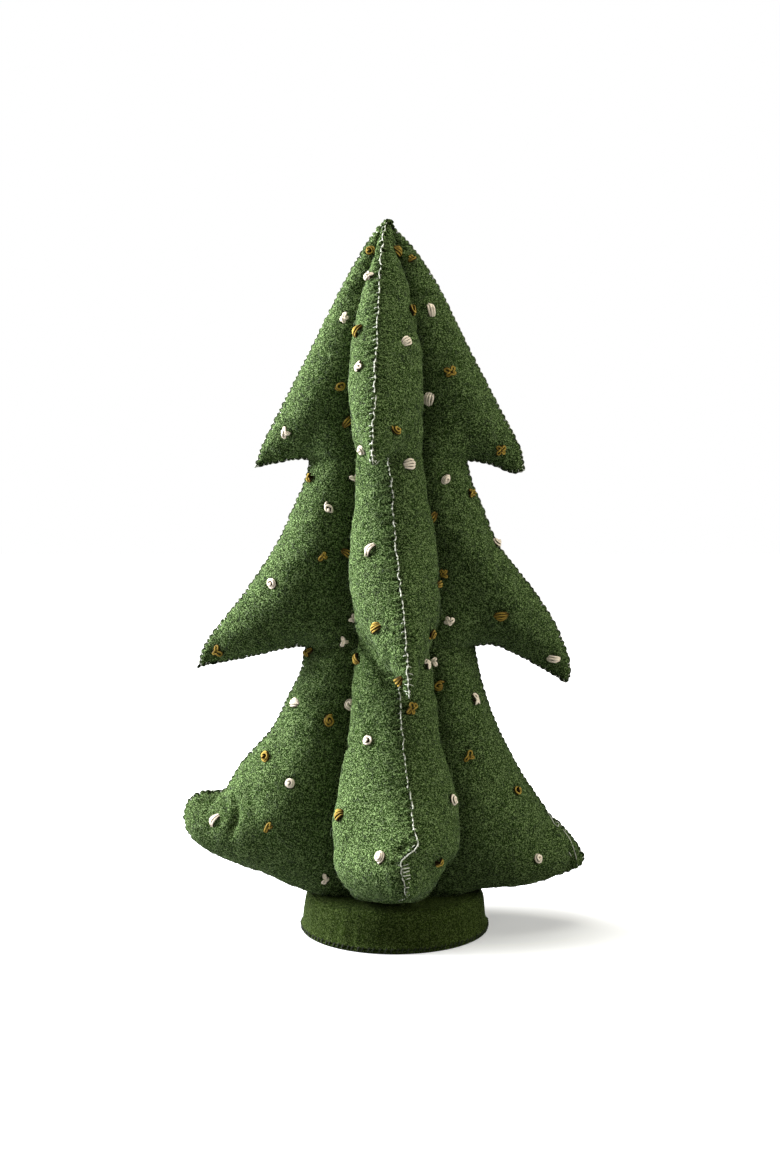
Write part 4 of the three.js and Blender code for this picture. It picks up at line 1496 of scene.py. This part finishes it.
class FELTTREE_OT_foot(bpy.types.Operator):
    """Cover the weighted foot: a felt band, a top and an underside, whip-stitched round the rim"""

    bl_idname = "felttree.foot"
    bl_label = "Foot"

    def execute(self, context):
        sizes, colours = context.scene.felt_tree_sizes, context.scene.felt_tree_colours
        # The foot's fibre colour is partly painted shade
        wool = felt_material("FootWoolFelt", (tuple(colours.felt_dark), tuple(colours.foot),
                                              tuple(colours.foot_fibre), hex_to_linear(FOOT_TINT)), 0.8)
        band = ring_profile(BAND_PROFILE, FOOT_SIDES)
        bpy.ops.object.mode_set(mode="OBJECT")
        rumple(band, HOLLOW_DEPTH, UPRIGHT_DEPTH, RUMPLE_SEED)
        bpy.ops.object.mode_set(mode="EDIT")
        finish_edit(band, "foot_band_felt")
        thicken(band, sizes.felt)
        cover = felt_disc("foot_cover_felt", COVER_PROFILE)
        underside = felt_disc("foot_underside_felt", UNDERSIDE_PROFILE)
        for piece, node in ((band, "foot_felt_band"), (cover, "foot_felt_cover"),
                            (underside, "foot_felt_underside")):
            piece.data.materials.append(wool)
            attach(piece, "root")
            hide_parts(node)
        rim_stitches(sizes, thread_material("GreenCottonThread", hex_to_linear(RIM_THREAD)))
        return {"FINISHED"}


# The foot's felt, as profiles of (radius, height). The band's lower edge flares where it is sewn.
FOOT_SIDES = 240
BAND_PROFILE = [
    (50.7, 2.5), (50.75, 2.9), (50.4, 3.4), (49.9, 4), (49.6, 5), (49.4, 6.4), (49.2, 8), (49, 9.6),
    (48.8, 11.2), (48.6, 12.8), (48.4, 14.4), (48.2, 16), (48, 17.4), (47.6, 18.6), (46.9, 19.6),
    (46, 20.3), (45.2, 20.6),
]
COVER_PROFILE = [
    (44.9, 19), (45.3, 19.6), (45.1, 20.6), (44.4, 21), (40, 21.1), (30, 21.1), (18, 21.1), (6, 21.1),
]
UNDERSIDE_PROFILE = [
    (49.8, 0), (50.5, 0.4), (50.8, 1.1), (50.6, 1.9), (49.9, 2.3), (40, 2.3), (24, 2.3), (8, 2.3),
]
HOLLOW_DEPTH = 0.45
UPRIGHT_DEPTH = 0.9
RUMPLE_SEED = 3


def thicken(piece, thickness):
    """Gives a sheet its thickness, inwards."""
    pick_only(piece)
    bpy.ops.object.modifier_add(type="SOLIDIFY")
    wall = piece.modifiers[-1]
    wall.thickness, wall.offset, wall.use_even_offset = thickness, -1, True
    bpy.ops.object.modifier_apply(modifier=wall.name)


def felt_disc(name, profile):
    """A flat round of felt with a soft edge, closed underneath and on top."""
    piece = ring_profile(profile, FOOT_SIDES // 2)
    for _ in range(2):
        bpy.ops.mesh.select_all(action="DESELECT")
        bpy.ops.mesh.select_non_manifold()
        bpy.ops.mesh.edge_face_add()
    finish_edit(piece, name)
    return piece


def rim_stitches(sizes, cotton):
    """Upright whip stitches that join the band to the underside."""
    gathered = Gathered()
    tree = surface_of("foot_band_felt", "foot_underside_felt")
    random = np.random.RandomState(STITCH_SEED + 1)
    count = int(2 * math.pi * BAND_PROFILE[0][0] / RIM_STITCH)
    for number in range(count):
        angle = (number + random.uniform(-0.2, 0.2)) / count * 2 * math.pi
        path = []
        for height, lift in RIM_STITCH_POINTS:
            turn = angle + (height - 2) * RIM_SLANT
            guess = (RIM_REACH * math.cos(turn), RIM_REACH * math.sin(turn), height)
            path.append(on_surface(tree, guess, sizes.thread / MM / 2 * lift))
        gathered.add(*sweep(smooth_curve(path, count=6), sizes.thread / MM / 2, 4))
    piece = gathered.piece("foot_rim_stitches", cotton)
    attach(piece, "root")
    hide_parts("foot_rim_thread")


RIM_STITCH = 2.9
RIM_REACH = 52
RIM_SLANT = 0.008
# Heights of a stitch's points, and their lifts in thread radii
RIM_STITCH_POINTS = ((0.7, -0.3), (1.1, 0.5), (2.3, 0.5), (3.2, 0.5), (4.1, -0.3))


class FELTTREE_OT_core(bpy.types.Operator):
    """Fill the wings with fibre, and finish the dowel and the weight inside"""

    bl_idname = "felttree.core"
    bl_label = "Core"

    def execute(self, context):
        sizes, colours = context.scene.felt_tree_sizes, context.scene.felt_tree_colours
        fill = fill_material("PolyesterFibreFill", tuple(colours.stuffing))
        felt = sizes.felt / MM
        wings, _ = build_wings(sizes)
        rows = [row_shares(wings.values(), index, WAD_CELL) for index in range(len(TIERS))]
        for name, wing in wings.items():
            piece = make_piece(fill_name(name), *stuffing_wad(wing, rows, felt), fill)
            fluff(piece)
            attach(piece, "root")
            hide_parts(f"stuffing_{name}_wing")
        beech = wood_material("SandedBeech", tuple(colours.wood))
        for node in ("centre_dowel", "foot_weight"):
            for slot in frame["nodes"][node].material_slots:
                slot.material = beech
        return {"FINISHED"}


WAD_CELL = 5.0
WAD_GAP = 1.0
DOWEL_CLEAR = 4.6
DOWEL_TOP = 325


def stuffing_wad(wing, rows, felt):
    """A wing's fibre: its cloth set in by the felt and a gap, from the seams in to the dowel."""
    shares, cells = wing_cloth(wing, rows, WAD_CELL)
    near, far, triangles = [], [], []
    numbers, core_above = [], None
    inset = felt + WAD_GAP
    clear = DOWEL_CLEAR - WING_SWAY * math.cos(wing.turn)

    def add(x, y, half, z):
        """Adds a point to each face, and gives its number."""
        near.append((x, y + half, z))
        far.append((x, y - half, z))
        return len(near) - 1

    for index, across, down in shares:
        surface, middle = wing.surface(int(index), across, down)
        half = surface[1] - middle[1] - inset * WAD_SLOPE
        shape = wing.edges[int(index)], wing.undersides[int(index)]
        sewn = across == 1 or (down == 1 and across >= notch_share(TIERS[int(index)], *shape) - 1e-9)
        corner = middle[0] - inset
        if across == 0:
            row_open = corner > DOWEL_CLEAR * 0.6
        if not row_open or sewn or half < WAD_THINNEST:
            numbers.append(None)
        elif across > 0:
            numbers.append(add(*middle[:2], half, middle[2]))
        elif corner * CORE_SHARE < clear and middle[2] < DOWEL_TOP:
            numbers.append(None)
            core_above = None
        else:
            radius = min(clear, corner * CORE_SHARE)
            core = add(radius, 0, radius - CORE_GAP, middle[2])
            numbers.append(add(corner, 0, corner - CORE_GAP, middle[2]))
            if core_above is not None:
                triangles += [(core_above, core_above + 1, core), (core, core_above + 1, core + 1)]
            core_above = core
    for a, b, c in cells:
        corners = [numbers[corner] for corner in (a, c, b)]
        if None not in corners:
            triangles.append(tuple(corners))
    return wing.place(np.array(near + far)), closed_faces(triangles, len(near))


WAD_SLOPE = 1.35
WAD_THINNEST = 0.8
CORE_SHARE = 0.9
CORE_GAP = 0.4


def closed_faces(triangles, shift):
    """A solid's faces: these triangles, the same on the far face, and the walls between their rims."""
    edges = {(a, b) for tri in triangles for a, b in zip(tri, tri[1:] + tri[:1])}
    faces = triangles + [(shift + a, shift + c, shift + b) for a, b, c in triangles]
    faces += [(b, a, shift + a, shift + b) for a, b in edges if (b, a) not in edges]
    return faces


def fluff(piece):
    """Gives a wad the soft hollows of loose fibre, inwards only, so that it stays inside the felt."""
    pick_only(piece)
    bpy.ops.object.mode_set(mode="EDIT")
    bpy.ops.mesh.select_all(action="SELECT")
    bpy.ops.mesh.normals_make_consistent(inside=False)
    bpy.ops.mesh.subdivide(number_cuts=1)
    bpy.ops.object.mode_set(mode="OBJECT")
    points, normals = points_of(piece), normals_of(piece)
    points -= normals * (0.5 + 0.5 * lumps(points, 6.0, 4))[:, None]
    move_points(piece, points)
    bpy.ops.object.shade_smooth()


def fill_material(name, colour):
    """Carded polyester fibre: matt white and cloudy."""
    material, tree, place = new_material(name)
    cloud, spread = soft_patches(tree, place, 2.5, 0.3, 0.7, 4, 0.6)
    ends = {6: tinted(colour, 0.75), 7: tinted(colour, 1)}
    base = add_node(tree, "Mix", {0: spread, **ends}, **MIX_COLOURS)
    bump = add_node(tree, "Bump", {"Height": cloud, "Strength": 0.8, "Distance": 0.8 * MM})
    shader = add_node(tree, "BsdfPrincipled", {"Base Color": base, "Roughness": 0.9, "Normal": bump})
    add_node(tree, "OutputMaterial", {"Surface": shader})
    return material


def wood_material(name, colour):
    """Turned and sanded beech: pale, with fine upright grain and short dark flecks."""
    material, tree, place = new_material(name)
    grain = add_node(tree, "Mapping", {"Vector": place, "Scale": (1, 1, 0.06)})
    deep = tinted(colour, 0.62)
    lines, spread = soft_patches(tree, grain, 0.9, 0.3, 0.7, 3, 0.6)
    base = add_node(tree, "Mix", {0: spread, 6: deep, 7: tinted(colour, 1)}, **MIX_COLOURS)
    _, flecks = soft_patches(tree, grain, 0.5, 0.66, 0.76, 1, shift=0.3, most=0.5)
    base = add_node(tree, "Mix", {0: flecks, 6: base, 7: deep}, **MIX_COLOURS)
    bump = add_node(tree, "Bump", {"Height": lines, "Strength": 0.3, "Distance": 0.1 * MM})
    shader = add_node(tree, "BsdfPrincipled", {"Base Color": base, "Roughness": 0.6, "Normal": bump})
    add_node(tree, "OutputMaterial", {"Surface": shader})
    return material


class FELTTREE_OT_stage(bpy.types.Operator):
    """Set the floor, the lamps and the camera"""

    bl_idname = "felttree.stage"
    bl_label = "Stage"

    def execute(self, context):
        bpy.ops.object.select_all(action="DESELECT")
        bpy.ops.mesh.primitive_plane_add(size=FLOOR_SIZE)
        floor = bpy.context.object
        floor.name = "studio_floor"
        floor.data.materials.append(floor_material())
        context.scene.world = white_world()
        for lamp in LAMPS:
            add_lamp(*lamp)
        context.scene.camera = add_camera()
        context.scene.view_settings.view_transform = "Standard"
        context.scene.cycles.denoising_prefilter = "NONE"
        return {"FINISHED"}


def add_lamp(name, place, size, power, tone):
    """A round area lamp that points at the tree."""
    bpy.ops.object.light_add(type="AREA", location=place)
    lamp = bpy.context.object
    lamp.name = name
    lamp.data.shape = "DISK"
    lamp.data.size = size
    lamp.data.energy = power
    lamp.data.color = tone
    lamp.rotation_euler = (LAMP_TARGET - Vector(place)).to_track_quat("-Z", "Y").to_euler()


def add_camera():
    """The camera that stands where the photograph was taken."""
    bpy.ops.object.camera_add(location=CAMERA_PLACE, rotation=(math.pi / 2 - CAMERA_DIP, 0, 0))
    camera = bpy.context.object
    camera.data.sensor_width = SENSOR_MM
    camera.data.lens = PHOTO_FOCAL * SENSOR_MM / PHOTO_LONG_SIDE
    camera.data.clip_start = 0.01
    return camera


FLOOR_SIZE = 12
LAMP_TARGET = Vector((0, 0, 0.17))
# Each lamp's name, place, width in metres, power in watts and colour. On the faces that the key lamp reaches
# the light is two to four times the level at which a colour renders as it is written.
LAMPS = [
    ("key_lamp", (-1.25, 0.36, 0.72), 1.0, 112, (0.99, 1, 1)),
    ("right_lamp", (1.3, -0.3, 0.6), 0.9, 12.5, (1, 0.98, 0.84)),
    ("top_lamp", (-0.1, -0.1, 1.5), 1.0, 13.3, (1, 0.98, 0.86)),
]


def floor_material():
    """Matt white paper sweep: it shows white to the camera, and keeps a soft grey shadow."""
    material, tree, place = new_material("WhitePaperSweep")
    paper = add_node(tree, "BsdfDiffuse", {"Color": tinted(hex_to_linear(PAPER), 1)})
    shifted = add_node(tree, "VectorMath", {0: place, 1: SHADOW_MIDDLE}, operation="SUBTRACT")
    band = add_node(tree, "VectorMath", {0: shifted, 1: SHADOW_STRETCH}, operation="MULTIPLY")
    away = add_node(tree, "VectorMath", {0: band}, "Value", operation="LENGTH")
    near, far = FLOOR_FADE
    strength = add_node(tree, "MapRange", {"Value": away, "From Min": near, "From Max": far,
                                           "To Min": FLOOR_GLOW}, **SMOOTH)
    glow = add_node(tree, "Emission", {"Color": WHITE, "Strength": strength})
    both = add_node(tree, "AddShader", {0: paper, 1: glow})
    dim = add_node(tree, "BsdfDiffuse", {"Color": tinted(hex_to_linear(FLOOR_BOUNCE), 1)})
    mixed = add_node(tree, "MixShader", {0: seen_rays(tree), 1: dim, 2: both})
    add_node(tree, "OutputMaterial", {"Surface": mixed})
    return material


PAPER = "#d3d4da"
FLOOR_GLOW = 0.3
FLOOR_BOUNCE = "#898989"
FLOOR_FADE = (0.05, 0.16)
SHADOW_MIDDLE = (0.04, -0.005, 0)
SHADOW_STRETCH = (1, 2.2, 0)


def seen_rays(tree):
    """1 for rays from the camera and through gloss or glass, which see the white background."""
    path = add_node(tree, "LightPath").node.outputs
    seen = path["Is Camera Ray"]
    for other in ("Is Glossy Ray", "Is Transmission Ray"):
        seen = add_node(tree, "Math", {0: seen, 1: path[other]}, operation="MAXIMUM")
    return seen


def white_world():
    """A world that is white to the camera and lights the scene as a dim, warm room."""
    world = bpy.data.worlds.new("StudioWorld")
    world.use_nodes = True
    tree = world.node_tree
    tree.nodes.clear()
    seen = seen_rays(tree)
    strength = add_node(tree, "MapRange", {"Value": seen, "To Min": ROOM_LIGHT}, **SMOOTH)
    tone = add_node(tree, "Mix", {0: seen, 6: ROOM_TONE, 7: WHITE}, **MIX_COLOURS)
    background = add_node(tree, "Background", {"Color": tone, "Strength": strength})
    add_node(tree, "OutputWorld", {"Surface": background})
    return world


ROOM_LIGHT = 0.158
ROOM_TONE = (1, 0.98, 0.82, 1)


class FELTTREE_PT_panel(bpy.types.Panel):
    """Sizes, colours and pieces of the felt tree"""

    bl_label = "Felt Tree"
    bl_idname = "FELTTREE_PT_panel"
    bl_space_type = "VIEW_3D"
    bl_region_type = "UI"
    bl_category = "Felt Tree"

    def draw(self, context):
        layout = self.layout
        for group in (context.scene.felt_tree_sizes, context.scene.felt_tree_colours):
            column = layout.column(align=True)
            for name in group.__annotations__:
                column.prop(group, name)
        for operator in OPERATORS:
            layout.operator(operator.bl_idname)


OPERATORS = (
    FELTTREE_OT_felt_panels,
    FELTTREE_OT_core,
    FELTTREE_OT_tucks,
    FELTTREE_OT_knots,
    FELTTREE_OT_stitches,
    FELTTREE_OT_stray_fibres,
    FELTTREE_OT_foot,
    FELTTREE_OT_stage,
)
CLASSES = (FeltTreeSizes, FeltTreeColours, *OPERATORS, FELTTREE_PT_panel)


def register():
    """Adds the panel, the operators and the scene's properties."""
    for kind in CLASSES:
        bpy.utils.register_class(kind)
    bpy.types.Scene.felt_tree_sizes = bpy.props.PointerProperty(type=FeltTreeSizes)
    bpy.types.Scene.felt_tree_colours = bpy.props.PointerProperty(type=FeltTreeColours)


def unregister():
    """Takes them out again."""
    del bpy.types.Scene.felt_tree_colours
    del bpy.types.Scene.felt_tree_sizes
    for kind in reversed(CLASSES):
        bpy.utils.unregister_class(kind)


def main():
    """Builds the tree."""
    register()
    for operator in OPERATORS:
        group, name = operator.bl_idname.split(".")
        getattr(getattr(bpy.ops, group), name)()


if __name__ == "__main__":
    main()
